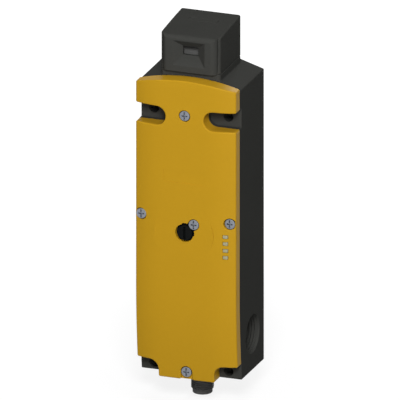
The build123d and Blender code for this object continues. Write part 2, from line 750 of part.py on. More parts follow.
def make_plug_shell():
    """Threaded shell of the round plug under the enclosure."""
    shell = rod_z(PLUG_THREAD_R, 0, -PLUG_DEPTH, (PLUG_THREAD_END, 0))
    shell += rod_z(PLUG_TIP_R, 0, -PLUG_DEPTH, (PLUG_TIP, PLUG_THREAD_END + 1))
    shell += rod_z(PLUG_COLLAR_R, 0, -PLUG_DEPTH, (-PLUG_COLLAR - 0.8, -0.8))
    inner_end = FLOOR_WALL + PLUG_NUT + PLUG_INNER_END
    shell += rod_z(PLUG_NECK_R, 0, -PLUG_DEPTH, (-1.5, inner_end))
    return shell - rod_z(PLUG_BORE_R, 0, -PLUG_DEPTH, (PLUG_TIP - 1, inner_end + 1))


def make_plug_seal():
    """Flat ring between the plug's collar and the enclosure."""
    ring = rod_z(PLUG_COLLAR_R - 0.6, 0, -PLUG_DEPTH, (-0.8, 0))
    return ring - rod_z(PLUG_NECK_R, 0, -PLUG_DEPTH, (-2, 1))


def make_plug_nut():
    """Hexagon nut that holds the plug from inside."""
    radius = PLUG_NUT_FLATS / 2 / math.cos(math.pi / 6)
    face = Pos(0, -PLUG_DEPTH) * RegularPolygon(radius, 6)
    nut = plan_prism(face, FLOOR_WALL, FLOOR_WALL + PLUG_NUT)
    return nut - rod_z(PLUG_NECK_R, 0, -PLUG_DEPTH, (FLOOR_WALL - 1, FLOOR_WALL + PLUG_NUT + 1))


def pin_places():
    """Centre of each contact pin as (x, y), one in the middle of four."""
    places = [(0, -PLUG_DEPTH)]
    for index in range(4):
        turn = math.radians(45 + 90 * index)
        x = PIN_CIRCLE_R * math.cos(turn)
        places.append((x, -PLUG_DEPTH + PIN_CIRCLE_R * math.sin(turn)))
    return places


def make_plug_insert():
    """Insulating disc that holds the contact pins."""
    low = PLUG_THREAD_END + INSERT_SINK
    high = FLOOR_WALL + PLUG_NUT + PLUG_INNER_END + INSERT_LEDGE
    disc = rod_z(PLUG_BORE_R, 0, -PLUG_DEPTH, (low, high))
    key_front = -PLUG_DEPTH - PLUG_BORE_R
    key = (key_front - PLUG_KEY_HALF, key_front + PLUG_KEY_HALF)
    disc -= block((-PLUG_KEY_HALF, PLUG_KEY_HALF), key, (low - 1, low + PLUG_KEY_LENGTH))
    for x, y in pin_places():
        disc -= rod_z(PIN_R, x, y, (low - 1, high + 1))
    return disc


def make_plug_pins():
    """Round contact pins of the plug."""
    pins = []
    for x, y in pin_places():
        high = FLOOR_WALL + PLUG_NUT + PLUG_INNER_END + PIN_TAIL
        pins.append(rod_z(PIN_R, x, y, (PLUG_TIP + PIN_SINK, high)))
    return pins


def head_top(y):
    """Height of the head's gently arched top at a place along Y."""
    back = -HEAD_BACK
    front = -HEAD_FRONT
    middle = TURN_Y
    share_back = (y - middle) * (y - front) / ((back - middle) * (back - front))
    share_middle = (y - back) * (y - front) / ((middle - back) * (middle - front))
    share_front = (y - back) * (y - middle) / ((front - back) * (front - middle))
    return HEAD_TOP_BACK * share_back + HEAD_TOP_MIDDLE * share_middle + HEAD_TOP_FRONT * share_front


def head_profile(front=HEAD_FRONT, edge_r=0.8):
    """Side view of the head under its gently arched top."""
    low = NECK_BOTTOM - 1
    middle = -(HEAD_BACK + front) / 2
    top = ThreePointArc((-HEAD_BACK, HEAD_TOP_BACK), (middle, head_top(middle)), (-front, head_top(-front)))
    lines = [
        top,
        Line(top @ 1, (-front, low)),
        Line((-front, low), (-HEAD_BACK, low)),
        Line((-HEAD_BACK, low), top @ 0),
    ]
    face = make_face(lines)
    corner = face.vertices().sort_by_distance((-front, head_top(-front), 0))[0]
    return fillet(corner, edge_r)


def head_chamber():
    """Hollow of the head round the cam wheel, with its two tongue ways."""
    half = WHEEL_WIDTH / 2 + 0.4
    space = rod_x(WHEEL_R + 0.5, (-half, half), WHEEL_Y, WHEEL_Z)
    space += block((-half, half), (-FACE_BACK, WHEEL_Y), (HEAD_BOTTOM + 1.2, WHEEL_Z + WHEEL_R + 0.5))
    slot = TOP_SLOT_X / 2
    way = block((-half, half), TOP_SLOT_Y, (WHEEL_Z, TOP_SLOT_DEEP + 1))
    space += way
    return space + block((-slot, slot), TOP_SLOT_Y, (TOP_SLOT_DEEP, HEAD_TOP_BACK + 1))


def make_head_housing():
    """Black housing of the actuator head with its turning neck."""
    head = plan_prism(head_plan(), HEAD_BOTTOM, HEAD_TOP_BACK + 1)
    head &= side_prism(head_profile(), HEAD_WIDTH)
    head += rod_z(NECK_R, 0, TURN_Y, (NECK_BOTTOM, HEAD_BOTTOM + 0.5))
    half = FACE_WIDTH / 2
    head -= block((-half, half), (-HEAD_FRONT - 1, -FACE_BACK), (HEAD_BOTTOM - 0.5, HEAD_TOP_BACK + 1))
    head -= head_chamber()
    head -= rod_x(AXLE_R + 0.02, (-HEAD_WIDTH, 10.6), WHEEL_Y, WHEEL_Z)
    head -= rod_z(BUSH_R, 0, TURN_Y, (NECK_BOTTOM - 1, BUSH_TOP))
    head -= rod_z(PLUNGER_R + 0.5, 0, TURN_Y, (NECK_BOTTOM, WHEEL_Z))
    groove = (CLIP_Z - 0.3, CLIP_Z + CLIP_THICKNESS + 0.3)
    head -= rod_z(NECK_R + 1, 0, TURN_Y, groove) - rod_z(CLIP_GROOVE_R, 0, TURN_Y, groove)
    ring = (NECK_RING_Z - NECK_RING_R - 0.1, NECK_RING_Z + NECK_RING_R + 0.1)
    ring_root = NECK_R - 2 * NECK_RING_R
    head -= rod_z(NECK_R + 1, 0, TURN_Y, ring) - rod_z(ring_root, 0, TURN_Y, ring)
    return head


def make_head_face():
    """Front of the head with the tongue funnel."""
    half = FACE_WIDTH / 2
    plan = patch((-half, half), (-FACE_FRONT, -FACE_BACK))
    plan = fillet(plan.vertices().group_by(Axis.Y)[0], FACE_CORNER_R)
    plate = plan_prism(plan, HEAD_BOTTOM, HEAD_TOP_BACK + 1)
    plate &= side_prism(head_profile(FACE_FRONT, FACE_EDGE_R), HEAD_WIDTH)
    middle_z = (FUNNEL_Z[0] + FUNNEL_Z[1]) / 2
    window_z = (WINDOW_Z[0] + WINDOW_Z[1]) / 2
    mouth = Plane.XZ.offset(FACE_FRONT) * Pos(0, middle_z) * Rectangle(FUNNEL_X, FUNNEL_Z[1] - FUNNEL_Z[0])
    throat_size = Rectangle(WINDOW_X, WINDOW_Z[1] - WINDOW_Z[0])
    throat = Plane.XZ.offset(FUNNEL_END) * Pos(0, window_z) * throat_size
    plate -= loft([mouth.face(), throat.face()])
    half_window = WINDOW_X / 2
    return plate - block((-half_window, half_window), (-FACE_FRONT, 0), WINDOW_Z)


def make_top_slot_plug():
    """Flush plug that closes the unused tongue slot in the top."""
    half = TOP_SLOT_X / 2 - 0.05
    plug = block((-half, half), (TOP_SLOT_Y[0] + 0.05, TOP_SLOT_Y[1] - 0.05), (TOP_SLOT_DEEP, HEAD_TOP_BACK + 1))
    return plug & side_prism(head_profile(), HEAD_WIDTH)


def make_plunger_bush():
    """Sleeve in the neck that guides the plunger."""
    bush = rod_z(BUSH_R, 0, TURN_Y, (NECK_BOTTOM, BUSH_TOP))
    return bush - rod_z(PLUNGER_R + RUNNING, 0, TURN_Y, (NECK_BOTTOM - 1, BUSH_TOP + 1))


def make_neck_seal():
    """Seal ring in the groove of the neck."""
    return Pos(0, TURN_Y, NECK_RING_Z) * Torus(NECK_R - NECK_RING_R + 0.02, NECK_RING_R)


def make_head_clip():
    """Forked spring-steel clip that holds the neck and lets it turn."""
    face = clip_plan(CLIP_OUTER_R, SEAM_DEPTH - 1.4) - clip_plan(CLIP_GROOVE_R + 0.15, FAR)
    return plan_prism(face, CLIP_Z, CLIP_Z + CLIP_THICKNESS)


def pitch_point(turn):
    """Centre of the plunger's tip in the wheel's own axes after a turn."""
    offset = TURN_Y - WHEEL_Y
    drop = WHEEL_Z - PLUNGER_TIP_Z - PLUNGER_LIFT * turn / math.radians(WHEEL_TURN)
    y = offset * math.cos(turn) + drop * math.sin(turn)
    z = offset * math.sin(turn) - drop * math.cos(turn)
    return Vector(y, z)


def cam_point(turn):
    """Point of the spiral cam that the plunger's tip faces after a turn."""
    step = 0.001
    centre = pitch_point(turn)
    along = (pitch_point(turn + step) - pitch_point(turn - step)).normalized()
    inward = Vector(-along.Y, along.X)
    if inward.dot(centre) > 0:
        inward = inward * -1
    return centre + inward * (PLUNGER_R + CAM_GAP)


def cam_relief():
    """Area that the plunger sweeps in the wheel's own axes."""
    full = math.radians(WHEEL_TURN)
    early = -math.radians(8)
    count = 12
    turns = [early + (full - early) * index / count for index in range(count + 1)]
    spiral = Spline(*[cam_point(turn) for turn in turns])
    far = 14.0
    last = pitch_point(full) + Vector(math.sin(full), -math.cos(full)) * far
    first = pitch_point(early) + Vector(math.sin(early), -math.cos(early)) * far
    outline = [spiral, Line(spiral @ 1, last), Line(last, first), Line(first, spiral @ 0)]
    relief = make_face(outline)
    nest = pitch_point(full)
    width = 2 * (PLUNGER_R + CAM_GAP)
    relief += Pos(nest.X, nest.Y) * Circle(width / 2)
    stem = Pos(nest.X, nest.Y) * Rot(0, 0, WHEEL_TURN) * Pos(0, -far / 2) * Rectangle(width, far)
    return relief + stem


def tongue_notch(turn):
    """Rounded notch in the wheel's rim, at an angle from the top to the back."""
    half = TONGUE_NOTCH / 2
    slot = Pos(0, TONGUE_NOTCH_DEEP) * Circle(half)
    slot += Pos(0, TONGUE_NOTCH_DEEP + half * 2) * Rectangle(TONGUE_NOTCH, half * 4)
    return Rot(0, 0, -turn) * slot


def wheel_plate(x, face):
    """Slice of the wheel between two values along X."""
    return extrude(Plane.YZ.offset(x[0]) * Pos(WHEEL_Y, WHEEL_Z) * face, amount=x[1] - x[0])


def make_cam_wheel():
    """Locking wheel: two notched discs with a spiral cam between them."""
    disc = Circle(WHEEL_R) - Circle(AXLE_R + AXLE_FIT)
    for turn in (-30, 60):
        disc -= tongue_notch(turn)
    cam = disc - cam_relief()
    half = WHEEL_WIDTH / 2
    web = WHEEL_WEB / 2
    wheel = wheel_plate((-half, -web), disc) + wheel_plate((web, half), disc)
    return wheel + wheel_plate((-web, web), cam)


def make_wheel_axle():
    """Pin through the head that carries the cam wheel."""
    return rod_x(AXLE_R, (-HEAD_WIDTH / 2 + 0.2, 10.5), WHEEL_Y, WHEEL_Z)


def foot_bottom():
    """Height of the plunger foot's underside at rest."""
    slope = PLUNGER_LIFT / BOLT_STROKE
    play = BOLT_ENGAGED * slope + SLIDE_GAP * math.hypot(1, slope)
    return BOLT_TOP + play - PLUNGER_LIFT


def make_plunger():
    """Round-tipped plunger with collar, crank and locking foot."""
    plunger = rod_z(PLUNGER_R, 0, TURN_Y, (CRANK_Z, PLUNGER_TIP_Z))
    plunger += Pos(0, TURN_Y, PLUNGER_TIP_Z) * Sphere(PLUNGER_R)
    plunger += rod_z(COLLAR_R, 0, TURN_Y, (COLLAR_Z, COLLAR_Z + COLLAR_THICKNESS))
    half = BOLT_SIZE / 2
    crank_y = (TURN_Y - 3, LOCK_Y + half)
    plunger += block((-3.5, FOOT_RIGHT), crank_y, (CRANK_Z, CRANK_Z + CRANK_THICKNESS))
    low = foot_bottom()
    left = BOLT_TIP_X + BOLT_STROKE - BOLT_STROKE - BOLT_ENGAGED - BOLT_STROKE
    foot = Polygon(
        (left, low + PLUNGER_LIFT),
        (left + BOLT_STROKE, low),
        (FOOT_RIGHT, low),
        (FOOT_RIGHT, CRANK_Z + 1),
        (left, CRANK_Z + 1),
        align=None,
    )
    return plunger + front_prism(foot, -LOCK_Y - half, -LOCK_Y + half)


def coil_spring(radius, wire, length, turns):
    """Helical spring along Z, standing on its own origin."""
    rise = length - 2 * wire
    path = Pos(0, 0, wire) * Helix(pitch=rise / turns, height=rise, radius=radius)
    section = Plane(origin=path @ 0, z_dir=path % 0) * RegularPolygon(wire, 8)
    return sweep(section, path=path)


def make_plunger_spring():
    """Spring that lifts the plunger against the cam."""
    length = COLLAR_Z - BLOCK_Z[1]
    spring = coil_spring(PLUNGER_R + 2.0, 2 * SPRING_WIRE_R, length, SPRING_TURNS)
    return Pos(0, TURN_Y, BLOCK_Z[1]) * spring


def contact_z(bridge):
    """Underside of the fixed contacts above a bridge's rest height."""
    return bridge + PLUNGER_LIFT + BRIDGE_THICKNESS + CONTACT_GAP


def contact_strip(side, bridge):
    """Fixed contact from the bridge's end out to its terminal."""
    low = contact_z(bridge)
    high = low + BRIDGE_THICKNESS
    half = BRIDGE_WIDTH / 2
    width = (TURN_Y - half, TURN_Y + half)
    strip = block((side * (BRIDGE_LENGTH / 2 - 3), side * (BLOCK_X + 0.8)), width, (low, high))
    return strip + block((side * BLOCK_X, side * (BLOCK_X + 0.8)), width, (high - TERMINAL_STRIP, high))


def make_contact_block():
    """Insulating block with one chamber for each moving bridge."""
    housing = block((-BLOCK_X, BLOCK_X), (-BLOCK_FRONT, -BLOCK_BACK), BLOCK_Z)
    housing -= rod_z(PLUNGER_R + 0.5, 0, TURN_Y, (BLOCK_Z[0] - 1, BLOCK_Z[1] + 1))
    for bridge in BRIDGE_Z:
        chamber = (bridge - 1.1, bridge - 1.1 + CHAMBER_RISE)
        housing -= block((-CHAMBER_X, CHAMBER_X), (-FAR, -CHAMBER_BACK), chamber)
        for side in (-1, 1):
            housing -= contact_strip(side, bridge)
    return housing


def make_fixed_contacts():
    """Four fixed contact strips, a pair over each bridge."""
    return [contact_strip(side, bridge) for bridge in BRIDGE_Z for side in (-1, 1)]


def make_terminal_screws():
    """Screws on the outer ends of the fixed contacts."""
    screws = []
    for bridge in BRIDGE_Z:
        z = contact_z(bridge) - TERMINAL_DROP
        for side in (-1, 1):
            start = BLOCK_X + 0.8
            end = start + TERMINAL_HEAD
            head = rod_x(TERMINAL_R, (side * start, side * end), TURN_Y, z)
            slot_x = (side * (end - TERMINAL_SLOT), side * (end + 1))
            slot_y = (TURN_Y - TERMINAL_SLOT / 2, TURN_Y + TERMINAL_SLOT / 2)
            screws.append(head - block(slot_x, slot_y, (z - TERMINAL_R, z + TERMINAL_R)))
    return screws


def make_contact_bridges():
    """Two moving contact bars carried by the plunger."""
    bridges = []
    half_x = BRIDGE_LENGTH / 2
    half_y = BRIDGE_WIDTH / 2
    for low in BRIDGE_Z:
        bar = block((-half_x, half_x), (TURN_Y - half_y, TURN_Y + half_y), (low, low + BRIDGE_THICKNESS))
        bridges.append(bar - rod_z(PLUNGER_R, 0, TURN_Y, (low - 1, low + 2)))
    return bridges


def make_solenoid_yoke():
    """Steel frame of the solenoid."""
    high = DIAL_Z + YOKE_HALF_HEIGHT
    low = DIAL_Z - YOKE_HALF_HEIGHT
    width = (LOCK_Y - YOKE_WIDTH / 2, LOCK_Y + YOKE_WIDTH / 2)
    frame = block(YOKE_X, width, (low, high))
    inner_x = (YOKE_X[0] + YOKE_PLATE, YOKE_X[1] - YOKE_PLATE)
    frame -= block(inner_x, (-FAR, 0), (low + YOKE_PLATE, high - YOKE_PLATE))
    return frame - rod_x(ARMATURE_R + RUNNING, (YOKE_X[1] - 3, YOKE_X[1] + 1), LOCK_Y, DIAL_Z)


def bobbin_span():
    """Ends of the bobbin between the yoke's end plates."""
    return YOKE_X[0] + YOKE_PLATE, YOKE_X[1] - YOKE_PLATE


def make_solenoid_bobbin():
    """Plastic bobbin with two flanges."""
    left, right = bobbin_span()
    bobbin = rod_x(BOBBIN_TUBE_R, (left, right), LOCK_Y, DIAL_Z)
    bobbin += rod_x(BOBBIN_R, (left, left + BOBBIN_FLANGE), LOCK_Y, DIAL_Z)
    bobbin += rod_x(BOBBIN_R, (right - BOBBIN_FLANGE, right), LOCK_Y, DIAL_Z)
    return bobbin - rod_x(BOBBIN_BORE_R, (left - 1, right + 1), LOCK_Y, DIAL_Z)


def make_solenoid_coil():
    """Copper winding on the bobbin."""
    left, right = bobbin_span()
    span = (left + BOBBIN_FLANGE, right - BOBBIN_FLANGE)
    coil = rod_x(COIL_R, span, LOCK_Y, DIAL_Z)
    return coil - rod_x(BOBBIN_TUBE_R, (left, right), LOCK_Y, DIAL_Z)


def make_armature():
    """Steel armature with a collar and a bore for the lock bolt."""
    end = ARM_RIGHT + 1.2
    armature = rod_x(ARMATURE_R, (ARMATURE_BACK, end), LOCK_Y, DIAL_Z)
    armature += rod_x(ARM_COLLAR_R, (ARM_RIGHT, end), LOCK_Y, DIAL_Z)
    return armature - rod_x(BOLT_TAIL_R + RUNNING, (-7.0, end + 1), LOCK_Y, DIAL_Z)


def make_armature_spring():
    """Spring that drives the armature towards the locked position."""
    spring = coil_spring(ARMATURE_R + 0.9, SPRING_WIRE_R, ARM_X - YOKE_X[1], 4)
    return Pos(YOKE_X[1], LOCK_Y, DIAL_Z) * Rot(0, 90, 0) * spring


def make_release_arm():
    """Bent strip on the armature that the dial's cam pushes aside."""
    face_x = -CAM_ROOT_R - CAM_SIDE_GAP
    clear_z = DIAL_Z + CAM_ROOT_R + 1.5
    top_z = clear_z + 3.8
    arm = block((ARM_X, ARM_RIGHT), (-29.0, LOCK_Y + 5.5), (DIAL_Z - 5.5, top_z))
    arm += block((ARM_X, ARM_RIGHT), (ARM_PLATE_Y[0], -28.5), (clear_z, top_z))
    arm += block((face_x - 3, ARM_RIGHT), ARM_PLATE_Y, (clear_z, top_z))
    arm += block((face_x - 3, face_x), ARM_PLATE_Y, (DIAL_Z - 4.5, top_z))
    leg_low = MONITOR_Z - MONITOR_BRIDGE_HEIGHT / 2 - MONITOR_LEG_TAIL
    arm += block((ARM_X, ARM_RIGHT), (LOCK_Y - 2.5, LOCK_Y + 2.5), (leg_low, DIAL_Z))
    return arm - rod_x(ARMATURE_R + 0.02, (ARM_X - 1, ARM_RIGHT + 1), LOCK_Y, DIAL_Z)


def lifting_point(turn):
    """Point of a flat-faced follower's cam, an involute, after a turn."""
    rate = ARMATURE_STROKE / math.radians(DIAL_TURN)
    lift = CAM_ROOT_R + rate * turn
    left = Vector(-math.cos(turn), -math.sin(turn))
    down = Vector(math.sin(turn), -math.cos(turn))
    return left * lift + down * rate


def make_release_cam():
    """Lifting cam on the dial's shaft, pushing the arm as the dial turns."""
    count = 8
    full = math.radians(DIAL_TURN)
    turns = [full * index / count for index in range(count + 1)]
    edge = Spline(*[lifting_point(turn) for turn in turns])
    start = edge @ 0
    end = edge @ 1
    outline = [edge, Line(end, (0, 0)), Line((0, 0), start)]
    face = make_face(outline) + Circle(CAM_ROOT_R)
    face -= Circle(DIAL_SHAFT_R - 1)
    return front_prism(Pos(0, DIAL_Z) * face, -ARM_PLATE_Y[1] - 0.2, -ARM_PLATE_Y[0] + 0.2)


def make_release_dial():
    """Black auxiliary release dial with pointer, groove and shaft."""
    rim = COVER_DEPTH - DIAL_RIM_SINK
    dial = rod_y(DIAL_R, 0, (-rim, -rim + DIAL_RIM_DEPTH), DIAL_Z)
    face = COVER_DEPTH - DIAL_FACE_SINK
    dial += rod_y(DIAL_FACE_R, 0, (-face, -rim + 1), DIAL_Z)
    dial += block((-0.6, 0.6), (-rim - 0.2, -rim + 0.5), (DIAL_Z + 3, DIAL_Z + DIAL_POINTER_R))
    cam_front = -ARM_PLATE_Y[0] + 0.2
    dial += rod_y(DIAL_SHAFT_R, 0, (-rim, -cam_front), DIAL_Z)
    dial += rod_y(DIAL_SHAFT_R - 1, 0, (-rim, ARM_PLATE_Y[1] + 0.2), DIAL_Z)
    half_slot = 0.6
    dial -= block((-half_slot, half_slot), (-FAR, -face + 1.4), (DIAL_Z - 3.4, DIAL_Z + 3.4))
    groove = (-rim + 1.2, -rim + 2.6)
    dial -= rod_y(DIAL_R + 1, 0, groove, DIAL_Z) - rod_y(DIAL_R - 1.2, 0, groove, DIAL_Z)
    clip = (-DIAL_BEARING_END + 0.1, -DIAL_BEARING_END + 0.9)
    return dial - (rod_y(DIAL_SHAFT_R + 1, 0, clip, DIAL_Z) - rod_y(DIAL_SHAFT_R - 0.5, 0, clip, DIAL_Z))


def make_dial_seal():
    """Seal ring in the groove of the dial."""
    place = Pos(0, -(COVER_DEPTH - DIAL_RIM_SINK) + 1.9, DIAL_Z)
    return place * Rot(90, 0, 0) * Torus(DIAL_R - 0.6, 0.58)


def make_dial_clip():
    """Retaining washer on the dial's shaft behind the cover."""
    span = (-DIAL_BEARING_END + 0.1, -DIAL_BEARING_END + 0.9)
    return rod_y(DIAL_R + 0.9, 0, span, DIAL_Z) - rod_y(DIAL_SHAFT_R - 0.5, 0, (-FAR, 0), DIAL_Z)


def make_lock_bolt():
    """Sprung bolt with a wedge nose that slides under the plunger's foot."""
    half = BOLT_SIZE / 2
    neck = ARM_RIGHT + 1.4
    bolt = rod_x(BOLT_TAIL_R, (-1.0, neck + 1), LOCK_Y, DIAL_Z)
    nose = Polygon(
        (neck, BOLT_BOTTOM),
        (BOLT_TIP_X, BOLT_BOTTOM),
        (BOLT_TIP_X - BOLT_STROKE, BOLT_TOP),
        (neck, BOLT_TOP),
        align=None,
    )
    return bolt + front_prism(nose, -LOCK_Y - half, -LOCK_Y + half)


def make_bolt_spring():
    """Spring behind the lock bolt inside the armature."""
    spring = coil_spring(BOLT_TAIL_R - 0.5, SPRING_WIRE_R, 6.0, 4)
    return Pos(-7.0, LOCK_Y, DIAL_Z) * Rot(0, 90, 0) * spring


def make_bolt_guide():
    """Channel on the back wall that carries the bolt and the foot."""
    half = BOLT_SIZE / 2 + SLIDE_GAP
    x = (BOLT_TIP_X + GUIDE_X[0], BOLT_TIP_X + GUIDE_X[1])
    front = LOCK_Y - half
    rear = LOCK_Y + half
    base_z = (BOLT_BOTTOM - GUIDE_DROP, BOLT_BOTTOM - GUIDE_FLOOR_GAP)
    wall_z = (BOLT_BOTTOM - GUIDE_WALL / 2, BOLT_TOP + GUIDE_RISE)
    guide = block(x, (front - GUIDE_WALL, -BACK_WALL), base_z)
    guide += block(x, (front - GUIDE_WALL, front), wall_z)
    return guide + block(x, (rear, rear + GUIDE_WALL), wall_z)


def make_monitor_bridge():
    """Contact bar on the release arm that reports the lock's position."""
    reach = (LOCK_Y - MONITOR_BRIDGE_REACH, LOCK_Y + MONITOR_BRIDGE_REACH)
    half = MONITOR_BRIDGE_HEIGHT / 2
    return block((ARM_RIGHT, ARM_RIGHT + BRIDGE_THICKNESS), reach, (MONITOR_Z - half, MONITOR_Z + half))


def monitor_pins():
    """Two fixed contacts that the monitoring bridge touches."""
    span = (ARM_RIGHT + BRIDGE_THICKNESS + CONTACT_GAP, MONITOR_PIN_END)
    places = (LOCK_Y - MONITOR_PIN_Y, LOCK_Y + MONITOR_PIN_Y)
    return [rod_x(MONITOR_PIN_R, span, y, MONITOR_Z) for y in places]


def make_monitor_contacts():
    """Fixed contacts of the lock monitor."""
    return monitor_pins()


def make_monitor_block():
    """Insulating holder of the lock monitor's fixed contacts."""
    low, high = MONITOR_BLOCK_RISE
    depth = (LOCK_Y - MONITOR_BLOCK_REACH, -BACK_WALL)
    holder = block(MONITOR_BLOCK_X, depth, (MONITOR_Z + low, MONITOR_Z + high))
    for pin in monitor_pins():
        holder -= pin
    return holder


PIECES = {
    "enclosure_base": make_enclosure_base,
    "front_cover": make_front_cover,
    "cover_gasket": make_cover_gasket,
    "cover_screws": make_cover_screws,
    "seal_screw": make_seal_screw,
    "led_light_pipes": make_led_light_pipes,
    "circuit_board": make_circuit_board,
    "board_screws": make_board_screws,
    "board_lamps": make_board_lamps,
    "board_modules": make_board_modules,
    "plug_shell": make_plug_shell,
    "plug_seal": make_plug_seal,
    "plug_nut": make_plug_nut,
    "plug_insert": make_plug_insert,
    "plug_pins": make_plug_pins,
    "head_housing": make_head_housing,
    "head_face": make_head_face,
    "top_slot_plug": make_top_slot_plug,
    "plunger_bush": make_plunger_bush,
    "neck_seal": make_neck_seal,
    "head_clip": make_head_clip,
    "cam_wheel": make_cam_wheel,
    "wheel_axle": make_wheel_axle,
    "plunger": make_plunger,
    "plunger_spring": make_plunger_spring,
    "contact_block": make_contact_block,
    "fixed_contacts": make_fixed_contacts,
    "terminal_screws": make_terminal_screws,
    "contact_bridges": make_contact_bridges,
    "solenoid_yoke": make_solenoid_yoke,
    "solenoid_bobbin": make_solenoid_bobbin,
    "solenoid_coil": make_solenoid_coil,
    "armature": make_armature,
    "armature_spring": make_armature_spring,
    "release_arm": make_release_arm,
    "release_cam": make_release_cam,
    "release_dial": make_release_dial,
    "dial_seal": make_dial_seal,
    "dial_clip": make_dial_clip,
    "lock_bolt": make_lock_bolt,
    "bolt_spring": make_bolt_spring,
    "bolt_guide": make_bolt_guide,
    "monitor_bridge": make_monitor_bridge,
    "monitor_contacts": make_monitor_contacts,
    "monitor_block": make_monitor_block,
}


def write_piece(name, shape):
    """Move a piece, or a group of pieces, to the mounting origin and write it."""
    group = shape if isinstance(shape, list) else [shape]
    moved = [PIECE_SHIFT * piece for piece in group]
    whole = moved[0] if len(moved) == 1 else Compound(children=moved)
    export_step(whole, f"parts/{name}.step")


os.makedirs("parts", exist_ok=True)
for piece_name, make_piece in PIECES.items():
    write_piece(piece_name, make_piece())
    print(piece_name, flush=True)
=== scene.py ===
"""Dressed model of a tongue interlock switch with solenoid guard locking.

Sizes are in millimetres and heights count from the underside of the housing.
Shapes are moved to the frame's origin, in metres, when a mesh is finished.
"""

import json
import logging
import math
from collections.abc import Callable, Iterator, Sequence
from dataclasses import dataclass, field
from enum import Enum

import bmesh
import bpy
from mathutils import Matrix, Vector
from mathutils.geometry import delaunay_2d_cdt

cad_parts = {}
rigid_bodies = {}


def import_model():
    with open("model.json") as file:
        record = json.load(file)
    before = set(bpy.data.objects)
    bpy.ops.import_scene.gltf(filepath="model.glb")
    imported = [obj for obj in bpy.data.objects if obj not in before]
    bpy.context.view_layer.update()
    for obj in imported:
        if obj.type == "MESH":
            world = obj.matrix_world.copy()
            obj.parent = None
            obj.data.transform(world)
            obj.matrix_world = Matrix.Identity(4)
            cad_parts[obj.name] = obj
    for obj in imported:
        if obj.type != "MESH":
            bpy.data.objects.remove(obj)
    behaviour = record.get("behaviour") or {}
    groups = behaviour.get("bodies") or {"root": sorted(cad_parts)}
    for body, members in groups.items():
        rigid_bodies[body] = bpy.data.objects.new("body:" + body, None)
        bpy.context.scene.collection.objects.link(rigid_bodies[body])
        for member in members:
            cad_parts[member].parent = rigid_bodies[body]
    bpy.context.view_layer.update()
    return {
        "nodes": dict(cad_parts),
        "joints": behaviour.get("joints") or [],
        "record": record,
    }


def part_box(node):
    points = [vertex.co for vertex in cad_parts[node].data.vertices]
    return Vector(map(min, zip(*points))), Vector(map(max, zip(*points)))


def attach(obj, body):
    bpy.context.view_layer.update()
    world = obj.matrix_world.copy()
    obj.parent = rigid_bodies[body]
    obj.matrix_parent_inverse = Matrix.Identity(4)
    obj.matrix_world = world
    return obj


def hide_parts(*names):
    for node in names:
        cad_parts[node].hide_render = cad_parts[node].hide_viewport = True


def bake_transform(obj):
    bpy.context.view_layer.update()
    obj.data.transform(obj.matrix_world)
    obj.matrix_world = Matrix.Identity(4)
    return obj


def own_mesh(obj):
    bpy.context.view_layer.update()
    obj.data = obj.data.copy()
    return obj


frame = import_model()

log = logging.getLogger("interlock_switch")

# Height of the frame's origin above the underside of the housing
ORIGIN_HEIGHT = 72.5
MILLIMETRE = 0.001

# Steps in a millimetre within which drawn points are one
WELD_STEPS = 1e4
# Distances in metres below which points of a drawn or a copied mesh are one
DRAFT_WELD = 2e-6
COPY_WELD = 1e-6
# Distance at which the filling of an outline takes points as one
FILL_WELD = 1e-5
# Length that counts as nothing, and double area of a face that does
NOTHING = 1e-6
SLIVER = 1e-4
# Share of a grid's spacing that its points keep from an outline
GRID_CLEARANCE = 0.4

# Depth of the axis of the head's round neck
NECK_DEPTH = 19.525
# Upward part of a normal that looks up, and of one that looks to a side
LOOKS_UP = 0.9
LOOKS_ASIDE = 0.5

# Angles from which an edge looks sharp, or a corner or a face counts as flat
SHARP_ANGLE = math.radians(32)
WIRE_SHARP_ANGLE = math.radians(60)
BEVEL_ANGLE = math.radians(30)
STRAIGHT_ANGLE = math.radians(178)
FLAT_ANGLE = math.radians(0.05)
# Limits that keep a drawn-in outline from running far out at a corner
LEAST_ACROSS = 0.35
MOST_REACH = 2.8

Flat = tuple[float, float]
Point = tuple[float, float, float]
Corner = tuple[float, float, float]
Loop = list[Flat]
Ring = list[Point]
Lift = Callable[[float, float], Point]
Colour = tuple[float, float, float]


# Outlines


def circle(centre: Flat, radius: float, count: int) -> Loop:
    """Points of a circle.

    Args:
        centre: Centre of the circle.
        radius: Its radius.
        count: Number of points.

    Returns:
        The points, anticlockwise.
    """
    turns = [2 * math.pi * index / count for index in range(count)]
    return [(centre[0] + radius * math.cos(t), centre[1] + radius * math.sin(t)) for t in turns]


def rectangle(low: Flat, high: Flat) -> Loop:
    """Corners of a rectangle, anticlockwise from its low corner."""
    return [low, (high[0], low[1]), high, (low[0], high[1])]


def mirrored(corners: Sequence[Corner]) -> list[Corner]:
    """Corners of the left half, which mirror those of the right half."""
    return [(-x, y, radius) for x, y, radius in reversed(corners)]


def sides(outline: Loop) -> Iterator[tuple[Flat, Flat]]:
    """Sides of a closed outline, each with its two ends."""
    return zip(outline, outline[1:] + outline[:1])


